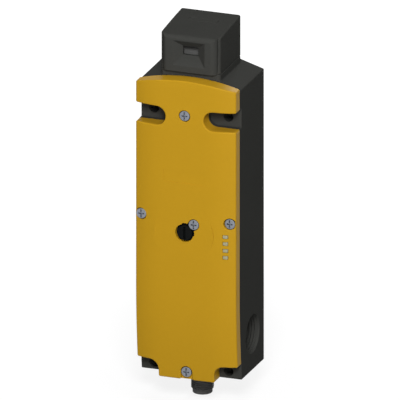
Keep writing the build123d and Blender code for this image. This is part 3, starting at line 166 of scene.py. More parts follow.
def rounded(corners: Sequence[Corner], step: float = 9.0) -> Loop:
    """Closed outline through corners, each rounded by a radius.

    Args:
        corners: Corner points, each with its radius; nought keeps it sharp.
        step: Degrees between the points of an arc.

    Returns:
        The outline's points in the order of the corners.
    """
    outline: Loop = []
    count = len(corners)
    for index, (x, y, radius) in enumerate(corners):
        here = Vector((x, y))
        before = (Vector(corners[index - 1][:2]) - here).normalized()
        after = (Vector(corners[(index + 1) % count][:2]) - here).normalized()
        opening = before.angle(after)
        if radius <= 0 or opening > STRAIGHT_ANGLE:
            outline.append((x, y))
            continue
        reach = radius / math.tan(opening / 2)
        middle = here + (before + after).normalized() * radius / math.sin(opening / 2)
        start = here + before * reach - middle
        sweep = math.pi - opening
        side = 1 if before.x * after.y - before.y * after.x < 0 else -1
        pieces = max(2, math.ceil(math.degrees(sweep) / step))
        for piece in range(pieces + 1):
            turned = start.copy()
            turned.rotate(Matrix.Rotation(side * sweep * piece / pieces, 2))
            outline.append((middle.x + turned.x, middle.y + turned.y))
    return outline


def divided(outline: Loop, step: float) -> Loop:
    """Closed outline with points added along its long sides.

    Args:
        outline: Closed outline.
        step: Longest side that stays whole.

    Returns:
        The outline with its own points and the added ones.
    """
    made: Loop = []
    for (ax, ay), (bx, by) in sides(outline):
        pieces = max(1, math.ceil(math.hypot(bx - ax, by - ay) / step))
        shares = [index / pieces for index in range(pieces)]
        made.extend((ax + (bx - ax) * share, ay + (by - ay) * share) for share in shares)
    return made


def clockwise(outline: Loop) -> bool:
    """Tell whether an outline runs clockwise.

    Args:
        outline: Closed outline.

    Returns:
        True if it does.
    """
    area = 0.0
    for (ax, ay), (bx, by) in sides(outline):
        area += ax * by - bx * ay
    return area < 0


def drawn_in(outline: Loop, distance: float) -> Loop:
    """Outline moved inwards by a distance, point for point.

    Args:
        outline: Closed outline.
        distance: How far each side moves in; negative moves it out.

    Returns:
        The moved outline with the same number of points.
    """
    turn = -1.0 if clockwise(outline) else 1.0
    moved: Loop = []
    count = len(outline)
    for index, (x, y) in enumerate(outline):
        here = Vector((x, y))
        before = here - Vector(outline[index - 1])
        after = Vector(outline[(index + 1) % count]) - here
        if before.length < NOTHING or after.length < NOTHING:
            moved.append((x, y))
            continue
        before.normalize()
        after.normalize()
        normal = Vector((-before.y - after.y, before.x + after.x))
        if normal.length < NOTHING:
            moved.append((x, y))
            continue
        normal.normalize()
        across = Vector((-before.y, before.x)).dot(normal)
        reach = min(1 / max(across, LEAST_ACROSS), MOST_REACH)
        spot = here + normal * (turn * distance * reach)
        moved.append((spot.x, spot.y))
    return moved


def inside(spot: Flat, outline: Loop) -> bool:
    """Tell whether a point lies inside a closed outline.

    Args:
        spot: The point.
        outline: Closed outline.

    Returns:
        True if it does.
    """
    x, y = spot
    found = False
    for (ax, ay), (bx, by) in sides(outline):
        if (ay > y) != (by > y) and x < (bx - ax) * (y - ay) / (by - ay) + ax:
            found = not found
    return found


def clear_of(spot: Flat, outline: Loop, distance: float) -> bool:
    """Tell whether a point keeps a distance from every side of an outline.

    Args:
        spot: The point.
        outline: Closed outline.
        distance: Distance to keep.

    Returns:
        True if it does.
    """
    x, y = spot
    for (ax, ay), (bx, by) in sides(outline):
        if min(ax, bx) - distance > x or max(ax, bx) + distance < x:
            continue
        if min(ay, by) - distance > y or max(ay, by) + distance < y:
            continue
        dx, dy = bx - ax, by - ay
        squared = dx * dx + dy * dy
        along = (x - ax) * dx + (y - ay) * dy
        share = max(0.0, min(1.0, along / squared)) if squared else 0.0
        if math.hypot(x - ax - share * dx, y - ay - share * dy) < distance:
            return False
    return True


def lifted(outline: Loop, lift: Lift) -> Ring:
    """Place each point of a flat outline in space."""
    return [lift(u, v) for u, v in outline]


def at_depth(depth: float) -> Lift:
    """Lift that lays a front view at one depth."""
    return lambda x, z: (x, -depth, z)


# Meshes


def shaded(shape: bmesh.types.BMesh, name: str, sharp: float = SHARP_ANGLE) -> bpy.types.Object:
    """Make an object whose large faces rule the shading of their corners.

    Args:
        shape: Finished mesh, which is freed.
        name: Name of the piece.
        sharp: Angle from which an edge looks sharp.

    Returns:
        The new object.
    """
    data = bpy.data.meshes.new(name)
    shape.to_mesh(data)
    shape.free()
    data.shade_smooth()
    data.set_sharp_from_angle(angle=sharp)
    around: list[list[Vector]] = [[] for _ in data.vertices]
    for face in data.polygons:
        for corner in face.vertices:
            around[corner].append(face.normal * face.area)
    limit = math.cos(sharp)
    normals: list[Vector] = []
    for face in data.polygons:
        for corner in face.vertices:
            near = [push for push in around[corner] if push.dot(face.normal) > limit * push.length]
            normals.append(sum(near, Vector()).normalized() if near else face.normal.copy())
    data.normals_split_custom_set(normals)
    piece = bpy.data.objects.new(name, data)
    bpy.context.scene.collection.objects.link(piece)
    return piece


class Draft:
    """Mesh being drawn, fed with points in millimetres."""

    def __init__(self) -> None:
        """Start with an empty mesh."""
        self.mesh = bmesh.new()
        self.known: dict[tuple[int, int, int], bmesh.types.BMVert] = {}

    def vertex(self, point: Point) -> bmesh.types.BMVert:
        """Vertex at a point, made once and shared.

        Args:
            point: Place in millimetres.

        Returns:
            The vertex there.
        """
        key = (
            round(point[0] * WELD_STEPS),
            round(point[1] * WELD_STEPS),
            round(point[2] * WELD_STEPS),
        )
        if key not in self.known:
            place = Vector((point[0], point[1], point[2] - ORIGIN_HEIGHT)) * MILLIMETRE
            self.known[key] = self.mesh.verts.new(place)
        return self.known[key]

    def face(self, points: Sequence[Point]) -> None:
        """Add a face, leaving out repeated corners and faces without area.

        Args:
            points: Its corners in order.
        """
        corners: list[bmesh.types.BMVert] = []
        for point in points:
            corner = self.vertex(point)
            if corner not in corners:
                corners.append(corner)
        if len(corners) < 3:
            return
        try:
            self.mesh.faces.new(corners)
        except ValueError:
            log.debug("face already there")

    def strip(self, first: Ring, second: Ring, closed: bool = True) -> None:
        """Join two rings with the same number of points.

        Args:
            first: One ring.
            second: The other ring.
            closed: Whether the last points join up with the first ones.
        """
        count = len(first)
        for index in range(count if closed else count - 1):
            after = (index + 1) % count
            self.face([first[index], first[after], second[after], second[index]])

    def fill(self, outer: Loop, holes: Sequence[Loop], lift: Lift, grid: float = 0.0) -> None:
        """Fill an outline, apart from its holes, with faces.

        Args:
            outer: Closed outline.
            holes: Closed outlines that stay open.
            lift: Places a flat point in space.
            grid: Distance between added points inside, for a curved surface.
        """
        spots: Loop = []
        edges: list[tuple[int, int]] = []
        for outline in (outer, *holes):
            start = len(spots)
            count = len(outline)
            spots.extend(outline)
            edges.extend((start + index, start + (index + 1) % count) for index in range(count))
        if grid > 0:
            spots.extend(self.grid_points(outer, holes, grid))
        result = delaunay_2d_cdt([Vector(spot) for spot in spots], edges, [], 0, FILL_WELD)
        corners, _, faces = result[:3]
        for face in faces:
            first, second, third = (corners[index] for index in face)
            if abs((second - first).cross(third - first)) < SLIVER:
                continue
            middle = (first + second + third) / 3
            spot = (middle.x, middle.y)
            if inside(spot, outer) and not any(inside(spot, hole) for hole in holes):
                self.face([lift(corners[index].x, corners[index].y) for index in face])

    @staticmethod
    def grid_points(outer: Loop, holes: Sequence[Loop], grid: float) -> Loop:
        """Evenly spread points inside an outline and clear of its sides.

        Args:
            outer: Closed outline.
            holes: Closed outlines that stay open.
            grid: Distance between the points.

        Returns:
            The points.
        """
        left = min(x for x, _ in outer)
        right = max(x for x, _ in outer)
        low = min(y for _, y in outer)
        high = max(y for _, y in outer)
        columns = max(1, round((right - left) / grid))
        rows = max(1, round((high - low) / grid))
        found: Loop = []
        away = grid * GRID_CLEARANCE
        for column in range(1, columns):
            for row in range(1, rows):
                spot = (left + (right - left) * column / columns, low + (high - low) * row / rows)
                if not inside(spot, outer) or any(inside(spot, hole) for hole in holes):
                    continue
                if all(clear_of(spot, outline, away) for outline in (outer, *holes)):
                    found.append(spot)
        return found

    def finish(self, name: str) -> bpy.types.Object:
        """Close the drawing and make its object.

        Args:
            name: Name of the piece.

        Returns:
            The new object.
        """
        bmesh.ops.remove_doubles(self.mesh, verts=self.mesh.verts, dist=DRAFT_WELD)
        bmesh.ops.dissolve_degenerate(self.mesh, edges=self.mesh.edges, dist=NOTHING)
        bmesh.ops.recalc_face_normals(self.mesh, faces=self.mesh.faces)
        return shaded(self.mesh, name)


def tower(draft: Draft, rings: Sequence[Ring], first: bool = True, last: bool = True) -> None:
    """Join rings one after another and close the ends.

    Args:
        draft: Mesh under construction.
        rings: Rings with the same number of points.
        first: Whether the first ring is closed by a face.
        last: Whether the last ring is closed by a face.
    """
    for low, high in zip(rings, rings[1:]):
        draft.strip(low, high)
    if first:
        draft.face(rings[0])
    if last:
        draft.face(rings[-1])


# Finishes


class Relief(Enum):
    """Kind of fine relief on a surface."""

    GRAIN = "spark-eroded grain of a mould"
    BRUSHED = "fine scratches along the height"
    TURNED = "rings left by a lathe"
    WOUND = "turns of enamelled wire"
    TRACES = "copper traces under solder mask"


# Kind, direction and distortion of the waves that draw a relief
WAVES: dict[Relief, tuple[str, str, float]] = {
    Relief.TURNED: ("RINGS", "Y", 1.0),
    Relief.WOUND: ("BANDS", "X", 0.4),
    Relief.TRACES: ("BANDS", "DIAGONAL", 6.0),
}
# Scale of a wave texture whose waves are one metre apart
WAVE_SCALE = 0.314
# Finer layers of the noise in large patches, in small ones and in scratches
CLOUD_DETAIL = 3.0
FINE_DETAIL = 2.0
SCRATCH_DETAIL = 4.0
# Squeeze along the height that draws noise out into scratches
SCRATCH_SQUEEZE = 0.06
# Range of the added noises over which one colour turns into the other
MIX_RANGE = (0.6, 1.4)
LEAST_ROUGHNESS = 0.02
METAL_SHADE = 0.86


@dataclass(frozen=True)
class Finish:
    """Look of one material, with its sizes in millimetres."""

    name: str
    colour: Colour
    second: Colour
    roughness: float
    metallic: float = 0.0
    relief: Relief = Relief.GRAIN
    grain: float = 0.45
    depth: float = 0.012
    patch: float = 22.0
    swing: float = 0.06
    specular: float = 0.5
    coat: float = 0.0

    def material(self) -> bpy.types.Material:
        """Build the node material.

        Returns:
            The new material.
        """
        made = bpy.data.materials.new(self.name)
        made.use_nodes = True
        tree = made.node_tree
        shader = tree.nodes["Principled BSDF"]
        shader.inputs["Metallic"].default_value = self.metallic
        shader.inputs["Specular IOR Level"].default_value = self.specular
        shader.inputs["Coat Weight"].default_value = self.coat
        place = tree.nodes.new("ShaderNodeTexCoord").outputs["Object"]
        cloud = self.noise(tree, place, self.patch, CLOUD_DETAIL)
        fine = self.noise(tree, place, self.grain * 3, FINE_DETAIL)
        tree.links.new(self.blend(tree, cloud, fine), shader.inputs["Base Color"])
        sheen = tree.nodes.new("ShaderNodeMapRange")
        tree.links.new(fine, sheen.inputs["Value"])
        sheen.inputs["To Min"].default_value = max(LEAST_ROUGHNESS, self.roughness - self.swing)
        sheen.inputs["To Max"].default_value = min(1.0, self.roughness + self.swing)
        tree.links.new(sheen.outputs["Result"], shader.inputs["Roughness"])
        bump = tree.nodes.new("ShaderNodeBump")
        bump.inputs["Distance"].default_value = self.depth * MILLIMETRE
        tree.links.new(self.relief_height(tree, place), bump.inputs["Height"])
        tree.links.new(bump.outputs["Normal"], shader.inputs["Normal"])
        return made

    def noise(
        self, tree: bpy.types.NodeTree, place: bpy.types.NodeSocket, size: float, detail: float
    ) -> bpy.types.NodeSocket:
        """Soft noise with patches of a size in millimetres.

        Args:
            tree: Node tree of the material.
            place: Socket that gives the place on the piece.
            size: Size of a patch.
            detail: Number of finer layers.

        Returns:
            Socket of the result.
        """
        node = tree.nodes.new("ShaderNodeTexNoise")
        node.inputs["Scale"].default_value = 1 / (size * MILLIMETRE)
        node.inputs["Detail"].default_value = detail
        tree.links.new(place, node.inputs["Vector"])
        return node.outputs["Fac"]

    def blend(
        self, tree: bpy.types.NodeTree, cloud: bpy.types.NodeSocket, fine: bpy.types.NodeSocket
    ) -> bpy.types.NodeSocket:
        """Mix the two colours by large and small patches.

        Args:
            tree: Node tree of the material.
            cloud: Noise with large patches.
            fine: Noise with small patches.

        Returns:
            Socket of the colour.
        """
        both = tree.nodes.new("ShaderNodeMath")
        both.operation = "ADD"
        tree.links.new(cloud, both.inputs[0])
        tree.links.new(fine, both.inputs[1])
        share = tree.nodes.new("ShaderNodeMapRange")
        share.inputs["From Min"].default_value = MIX_RANGE[0]
        share.inputs["From Max"].default_value = MIX_RANGE[1]
        tree.links.new(both.outputs[0], share.inputs["Value"])
        mix = tree.nodes.new("ShaderNodeMix")
        mix.data_type = "RGBA"
        tree.links.new(share.outputs["Result"], mix.inputs["Factor"])
        mix.inputs["A"].default_value = (*self.colour, 1)
        mix.inputs["B"].default_value = (*self.second, 1)
        return mix.outputs["Result"]

    def relief_height(
        self, tree: bpy.types.NodeTree, place: bpy.types.NodeSocket
    ) -> bpy.types.NodeSocket:
        """Height of the fine relief.

        Args:
            tree: Node tree of the material.
            place: Socket that gives the place on the piece.

        Returns:
            Socket of the result.
        """
        if self.relief is Relief.GRAIN:
            return self.noise(tree, place, self.grain, FINE_DETAIL)
        if self.relief is Relief.BRUSHED:
            stretch = tree.nodes.new("ShaderNodeMapping")
            stretch.inputs["Scale"].default_value = (1.0, 1.0, SCRATCH_SQUEEZE)
            tree.links.new(place, stretch.inputs["Vector"])
            return self.noise(tree, stretch.outputs["Vector"], self.grain, SCRATCH_DETAIL)
        kind, direction, distortion = WAVES[self.relief]
        wave = tree.nodes.new("ShaderNodeTexWave")
        wave.wave_type = kind
        wave.rings_direction = direction if kind == "RINGS" else "X"
        wave.bands_direction = "X" if kind == "RINGS" else direction
        wave.inputs["Scale"].default_value = WAVE_SCALE / (self.grain * MILLIMETRE)
        wave.inputs["Distortion"].default_value = distortion
        tree.links.new(place, wave.inputs["Vector"])
        return wave.outputs["Fac"]


def plastic(
    name: str, colour: Colour, lighter: float, roughness: float = 0.5, gloss: float = 0.3
) -> Finish:
    """Moulded plastic whose patches differ a little in lightness."""
    second = tuple(min(1.0, channel * lighter) for channel in colour)
    return Finish(name, colour, second, roughness, specular=gloss)


def metal(name: str, colour: Colour, roughness: float, relief: Relief = Relief.BRUSHED) -> Finish:
    """Bare or plated metal with fine scratches."""
    return Finish(
        name,
        colour,
        tuple(channel * METAL_SHADE for channel in colour),
        roughness,
        metallic=1.0,
        relief=relief,
        grain=0.12,
        depth=0.004,
        patch=9.0,
        swing=0.08,
    )


FINISH_LIST: tuple[Finish, ...] = (
    plastic("black_plastic", (0.044, 0.0445, 0.041), 1.12, 0.55, 0.001),
    plastic("yellow_plastic", (0.48, 0.268, 0.013), 1.04, 0.42, 0.05),
    plastic("seal_rubber", (0.012, 0.012, 0.013), 1.3, 0.75),
    metal("zinc_screw", (0.22, 0.235, 0.265), 0.42, Relief.TURNED),
    Finish("light_pipe", (0.30, 0.28, 0.16), (0.37, 0.35, 0.21), 0.35, coat=0.3),
    Finish(
        "board_green",
        (0.01, 0.10, 0.03),
        (0.015, 0.13, 0.045),
        0.3,
        relief=Relief.TRACES,
        grain=1.2,
        depth=0.03,
    ),
    plastic("lamp_white", (0.70, 0.69, 0.60), 1.08, 0.2),
    plastic("chip_black", (0.02, 0.02, 0.022), 1.2, 0.6),
    plastic("plug_black", (0.115, 0.115, 0.112), 1.12, 0.5, 0.05),
    metal("nut_steel", (0.34, 0.34, 0.35), 0.45),
    plastic("insert_black", (0.018, 0.018, 0.019), 1.2, 0.4),
    metal("pin_brass", (0.78, 0.57, 0.22), 0.25, Relief.TURNED),
    plastic("bush_plastic", (0.50, 0.49, 0.45), 1.06, 0.5),
    metal("spring_steel", (0.42, 0.42, 0.44), 0.3),
    Finish(
        "wheel_metal",
        (0.060, 0.060, 0.058),
        (0.075, 0.075, 0.072),
        0.6,
        metallic=0.1,
        grain=0.25,
        depth=0.01,
    ),
    plastic("plunger_plastic", (0.42, 0.05, 0.03), 1.1, 0.45),
    plastic("contact_plastic", (0.19, 0.21, 0.24), 1.08, 0.55),
    metal("contact_silver", (0.80, 0.79, 0.76), 0.22),
    Finish(
        "coil_copper",
        (0.42, 0.13, 0.04),
        (0.50, 0.17, 0.06),
        0.25,
        metallic=0.7,
        relief=Relief.WOUND,
        grain=0.3,
        depth=0.08,
    ),
    plastic("dial_black", (0.003, 0.0035, 0.0035), 1.3, 0.5, 0.05),
)
FINISHES: dict[str, Finish] = {finish.name: finish for finish in FINISH_LIST}


@dataclass
class Workshop:
    """Dresses pieces, hangs them on their bodies and reports them."""

    made: dict[str, bpy.types.Material] = field(default_factory=dict)

    def material(self, slot: str) -> bpy.types.Material:
        """Material of a slot, made once.

        Args:
            slot: Material slot of the record.

        Returns:
            The material.
        """
        if slot not in self.made:
            self.made[slot] = FINISHES[slot].material()
        return self.made[slot]

    def fit(
        self, piece: bpy.types.Object, body: str, slot: str, stands_for: Sequence[str] = ()
    ) -> None:
        """Dress a piece and hang it on a body.

        Args:
            piece: The finished object.
            body: Body of the frame that it moves with.
            slot: Material slot that it is dressed in.
            stands_for: Nodes of the frame that it replaces.
        """
        self.dress(piece, slot, stands_for)
        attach(piece, body)
        log.info("piece %s on %s in %s", piece.name, body, slot)

    def dress(self, piece: bpy.types.Object, slot: str, stands_for: Sequence[str]) -> None:
        """Give a piece its material and hide the nodes that it replaces.

        Args:
            piece: The finished object.
            slot: Material slot that it is dressed in.
            stands_for: Nodes of the frame that it replaces.
        """
        piece.data.materials.append(self.material(slot))
        if stands_for:
            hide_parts(*stands_for)

    def dress_nodes(self, replaced: set[str]) -> None:
        """Give every node that stays visible its material.

        Args:
            replaced: Nodes that a new piece stands for.
        """
        slots = {part["node"]: part["material_slot"] for part in frame["record"]["subparts"]}
        for name, node in frame["nodes"].items():
            if name in replaced:
                continue
            for holder in node.material_slots:
                holder.material = self.material(slots[name])
            log.info("node %s in %s", name, slots[name])


# Housing


@dataclass
class FrontCover:
    """Yellow moulded cover with a front rolled back at its sides."""

    half_width: float = 27.0
    depth: float = 44.0
    half_flat: float = 12.9
    roll: float = 41.0
    wall: float = 2.4
    seam: float = 36.2
    bend_height: float = 50.0
    bend_radius: float = 390.0
    arch_top: float = 161.2
    arch_radius: float = 97.8
    edge: float = 0.6
    edge_steps: int = 4
    edge_least: float = 0.25
    edge_clearance: float = 5.0
    corner: float = 0.8
    notch_end: float = 10.25
    notch_low: float = 135.95
    notch_high: float = 146.05
    notch_round: float = 5.04
    foot: float = -0.5
    foot_half: float = 15.0
    cut_height: float = 8.5
    cut_round: float = 4.9
    gap_round: float = 3.04
    gap_mouth: float = 0.9
    gap_top: float = 8.0
    gap_inner: float = 0.85
    gap_outer: float = 0.95
    recess: float = 3.05
    recess_shoulder: float = 0.15
    recess_margin: float = 0.4
    bore: float = 1.7
    post: float = 4.2
    screws: tuple[Flat, ...] = ((0.0, 142.4), (-23.8, 86.6), (23.8, 86.6))
    low_screw: Flat = (0.0, 3.7)
    screw_sink: float = 0.3
    head_height: float = 1.8
    label: tuple[Flat, Flat] = ((-11.3, 106.2), (10.6, 112.6))
    label_sink: float = 0.15
    dial: Flat = (0.0, 79.5)
    plateau: float = 15.55
    plateau_groove: float = 0.3
    opening: float = 4.85
    pointer_reach: float = 5.45
    pointer_turns: Flat = (347.0, 103.0)
    ledge_sink: float = 1.6
    pocket_sink: float = 2.6
    bearing: float = 4.79
    bearing_back: float = 38.0
    boss: float = 7.53
    seal_screw: Flat = (5.0, 84.45)
    seal_bore: float = 1.53
    seal_bore_end: float = 38.3
    seal_boss: float = 3.3
    lamp_half: Flat = (1.45, 1.0)
    lamp_x: float = 21.8
    lamp_heights: tuple[float, ...] = (79.7, 76.0, 72.3, 68.6)

    def surface(self, x: float, z: float, inset: float = 0.0) -> float:
        """Depth of the front, or of a face parallel to it.

        Args:
            x: Place across the cover.
            z: Height.
            inset: How far the face lies inside the front.

        Returns:
            Distance in front of the housing's back.
        """
        side = max(0.0, abs(x) - self.half_flat)
        roll = self.roll - inset
        back = roll - math.sqrt(roll * roll - side * side)
        reach = self.bend_radius - inset - back
        low = max(0.0, self.bend_height - z)
        return math.sqrt(reach * reach - low * low) - self.bend_radius + self.depth

    def seam_depth(self, z: float) -> float:
        """Depth of the seam with the housing at a height.

        Args:
            z: Height.

        Returns:
            The depth.
        """
        reach = self.bend_radius - self.depth + self.seam
        low = max(0.0, self.bend_height - z)
        return math.sqrt(reach * reach - low * low) - self.bend_radius + self.depth

    def on_front(self, inset: float = 0.0) -> Lift:
        """Lift that lays a front view on the front or parallel to it."""
        return lambda x, z: (x, -self.surface(x, z, inset), z)

    def plateau_foot(self, x: float, z: float) -> Point:
        """Foot of the plateau's edge, deeper where the front rolls away."""
        return (x, 2 * self.depth - 3 * self.surface(x, z), z)

    def on_seam(self, x: float, z: float) -> Point:
        """Point of the face that meets the housing."""
        return (x, -self.seam_depth(z), z)

    def screw_floor(self, screw: Flat) -> float:
        """Depth of the face that a cover screw's head rests on."""
        return self.surface(*screw) - self.screw_sink - self.head_height

    def arch(self, half: float, inset: float, count: int = 28) -> list[Corner]:
        """Corners along the rounded top, from left to right.

        Args:
            half: Half of the width that they span.
            inset: How far they lie inside the edge.
            count: Number of pieces between them.

        Returns:
            The corners, all left sharp.
        """
        centre = self.arch_top - self.arch_radius
        radius = self.arch_radius - inset
        spots = [half * (2 * index / count - 1) for index in range(count + 1)]
        return [(x, centre + math.sqrt(radius * radius - x * x), 0.0) for x in spots]

    def footprint(self) -> Loop:
        """Front view of the cover's edge, starting at the top left.

        Returns:
            The outline, with points along its long sides.
        """
        wide, corner = self.half_width, self.corner
        top = self.arch(wide, 0.0)
        top[0] = (*top[0][:2], corner)
        top[-1] = (*top[-1][:2], corner)
        right = [
            (wide, self.notch_high, corner),
            (self.notch_end, self.notch_high, self.notch_round),
            (self.notch_end, self.notch_low, self.notch_round),
            (wide, self.notch_low, corner),
            (wide, self.cut_height, corner),
            (self.foot_half, self.cut_height, self.cut_round),
            (self.foot_half, self.foot, corner),
            (self.recess, self.foot, self.gap_mouth),
            (self.recess, self.low_screw[1] + self.recess, self.gap_round),
        ]
        return divided(rounded([*top, *right, *mirrored(right)]), 1.5)

    def hollow(self) -> Loop:
        """Front view of the hollow, drawn in round the side screws.

        Returns:
            The outline.
        """
        wide = self.half_width - self.wall
        right = [
            (wide, 148.4, 0.4),
            (7.9, 148.4, 3.0),
            (7.9, 133.6, 3.0),
            (wide, 133.6, 0.4),
            (wide, 90.8, 0.4),
            (19.6, 90.8, 3.0),
            (19.6, 82.4, 3.0),
            (wide, 82.4, 0.4),
            (wide, 10.9, 0.4),
            (12.6, 10.9, 2.5),
            (12.6, 8.2, 0.4),
        ]
        corners = [*self.arch(wide, self.wall, 16), *right, *mirrored(right)]
        return divided(rounded(corners, 20.0), 4.0)

    def round_dial(self, count: int, reach: Callable[[float], float], joined: float) -> Loop:
        """Outline round the dial, joined with a circle round the seal screw.

        Args:
            count: Number of points.
            reach: Distance from the dial's axis at a turn in degrees.
            joined: Radius of the circle round the seal screw, or nought.

        Returns:
            The outline, clockwise from the top.
        """
        away = Vector(self.seal_screw) - Vector(self.dial)
        outline: Loop = []
        for step in range(count):
            degrees = 360 * step / count
            turn = math.radians(degrees)
            ray = Vector((math.sin(turn), math.cos(turn)))
            far = reach(degrees)
            along = away.dot(ray)
            under = joined**2 - (away.length_squared - along * along)
            if joined and along > 0 and under > 0:
                far = max(far, along + math.sqrt(under))
            outline.append((self.dial[0] + ray.x * far, self.dial[1] + ray.y * far))
        return outline

    def dial_reach(self, degrees: float) -> float:
        """Reach of the dial's opening, larger where the pointer passes."""
        start, end = self.pointer_turns
        return self.pointer_reach if degrees <= end or degrees >= start else self.opening

    def dial_opening(self, joined: float) -> Loop:
        """Outline of the dial's opening, joined with a circle round the seal screw."""
        return self.round_dial(144, self.dial_reach, joined)

    def dial_boss(self) -> Loop:
        """Outline of the bearing boss behind the dial."""
        return self.round_dial(72, lambda _: self.boss, self.seal_boss)

    def lamp_holes(self) -> list[Loop]:
        """Outlines of the lamps' openings.

        Returns:
            One outline for each lamp.
        """
        wide, tall = self.lamp_half
        left, right = self.lamp_x - wide, self.lamp_x + wide
        return [rectangle((left, z - tall), (right, z + tall)) for z in self.lamp_heights]

    def build(self) -> bpy.types.Object:
        """Build the whole cover as one closed shell.

        Returns:
            The new object.
        """
        draft = Draft()
        outer = self.footprint()
        edge_rings = self.edge_rings(outer)
        tower(draft, edge_rings, first=False, last=False)
        crown = self.narrowed(outer, self.edge)
        label = rectangle(*self.label)
        plateau = circle(self.dial, self.plateau, 96)
        groove = circle(self.dial, self.plateau + self.plateau_groove, 96)
        dial_union = self.dial_opening(self.recess)
        recesses = [self.recess_ring(screw, self.recess_shoulder) for screw in self.screws]
        front, flat = self.on_front(), at_depth(self.depth)
        draft.fill(crown, [*recesses, *self.lamp_holes(), label, groove], front, 3.4)
        draft.fill(plateau, [dial_union], flat)
        draft.strip(lifted(groove, front), lifted(plateau, self.plateau_foot))
        draft.strip(lifted(plateau, self.plateau_foot), lifted(plateau, flat))
        sunk = at_depth(self.depth - self.label_sink)
        draft.strip(lifted(label, flat), lifted(label, sunk))
        draft.fill(label, [], sunk)
        self.build_skirt(draft, outer, edge_rings[0])
        self.build_openings(draft, dial_union)
        return draft.finish("front_cover_moulding")

    def narrowed(self, outer: Loop, distance: float) -> Loop:
        """Edge moved inwards, less beside the side screws, whose recesses lie there.

        Args:
            outer: Front view of the edge.
            distance: How far the edge moves in elsewhere.

        Returns:
            The moved edge with the same number of points.
        """
        made: Loop = []
        for (x, z), (near_x, near_z) in zip(outer, drawn_in(outer, distance)):
            away = min(1.0, abs(z - self.screws[1][1]) / self.edge_clearance)
            eased = away * away * (3 - 2 * away)
            beside = abs(x) > self.half_width - 0.01
            share = self.edge_least + (1 - self.edge_least) * eased if beside else 1.0
            made.append((x + (near_x - x) * share, z + (near_z - z) * share))
        return made

    def recess_ring(self, screw: Flat, grow: float) -> Loop:
        """Outline of a screw's recess, kept inside the cover's edge.

        Args:
            screw: Place of the screw.
            grow: How much wider the outline is.

        Returns:
            The outline.
        """
        limit = self.half_width - self.recess_margin + grow
        outline = circle(screw, self.recess + grow, 40)
        return [(max(-limit, min(limit, x)), z) for x, z in outline]

    def edge_rings(self, outer: Loop) -> list[Ring]:
        """Rings of the rounded edge, from the skirt to the front.

        Args:
            outer: Front view of the edge.

        Returns:
            The rings.
        """
        rings: list[Ring] = []
        for step in range(self.edge_steps + 1):
            turn = math.radians(90 * step / self.edge_steps)
            loop = self.narrowed(outer, self.edge * (1 - math.cos(turn)))
            sink = self.edge * (1 - math.sin(turn))
            rings.append([(x, -self.surface(x, z) + sink, z) for x, z in loop])
        return rings

    def build_skirt(self, draft: Draft, outer: Loop, rim: Ring) -> None:
        """Add the outer walls, the gap at the lowest screw and the seam.

        Args:
            draft: Mesh under construction.
            outer: Front view of the edge, with the gap.
            rim: Ring where the rounded edge meets the walls.
        """
        gap_depth = self.screw_floor(self.low_screw)
        reach = self.recess + self.gap_outer
        middle: Ring = []
        for x, y, z in rim:
            by_gap = abs(x) <= reach and z < self.gap_top
            middle.append((x, -gap_depth if by_gap else (y - self.seam_depth(z)) / 2, z))
        draft.strip(rim, middle)
        seam = [self.on_seam(x, z) for x, _, z in middle]
        plain = [index for index, (x, z) in enumerate(outer) if not self.in_gap(x, z)]
        count = len(outer)
        for index in range(count):
            after = (index + 1) % count
            if index in plain and after in plain:
                draft.face([middle[index], middle[after], seam[after], seam[index]])
        inner = [index for index in range(count) if index not in plain]
        ends = [inner[0] - 1, *inner, inner[-1] + 1]
        draft.face([middle[ends[0]], middle[ends[-1]], seam[ends[-1]], seam[ends[0]]])
        screws = (*self.screws, self.low_screw)
        bores = [circle(screw, self.bore, 20) for screw in screws]
        draft.fill([outer[index] for index in ends], [bores[-1]], at_depth(gap_depth))
        hollow, lamps = self.hollow(), self.lamp_holes()
        draft.fill([outer[index] for index in plain], [hollow, *bores[1:]], self.on_seam, 6.0)
        post, post_end = circle(self.screws[0], self.post, 32), at_depth(self.seam)
        draft.fill(post, [bores[0]], post_end)
        ceiling = self.on_front(self.wall)
        draft.fill(hollow, [post, self.dial_boss(), *lamps], ceiling, 5.0)
        draft.strip(lifted(hollow, ceiling), lifted(hollow, self.on_seam))
        draft.strip(lifted(post, ceiling), lifted(post, post_end))
        for hole in lamps:
            draft.strip(lifted(hole, self.on_front()), lifted(hole, ceiling))
        for screw, bore in zip(screws, bores):
            floor = at_depth(self.screw_floor(screw))
            draft.strip(lifted(bore, floor), lifted(bore, self.on_seam))

    def in_gap(self, x: float, z: float) -> bool:
        """Tell whether a point of the edge belongs to the gap, not its mouth."""
        return abs(x) < self.recess + self.gap_inner and z < self.gap_top

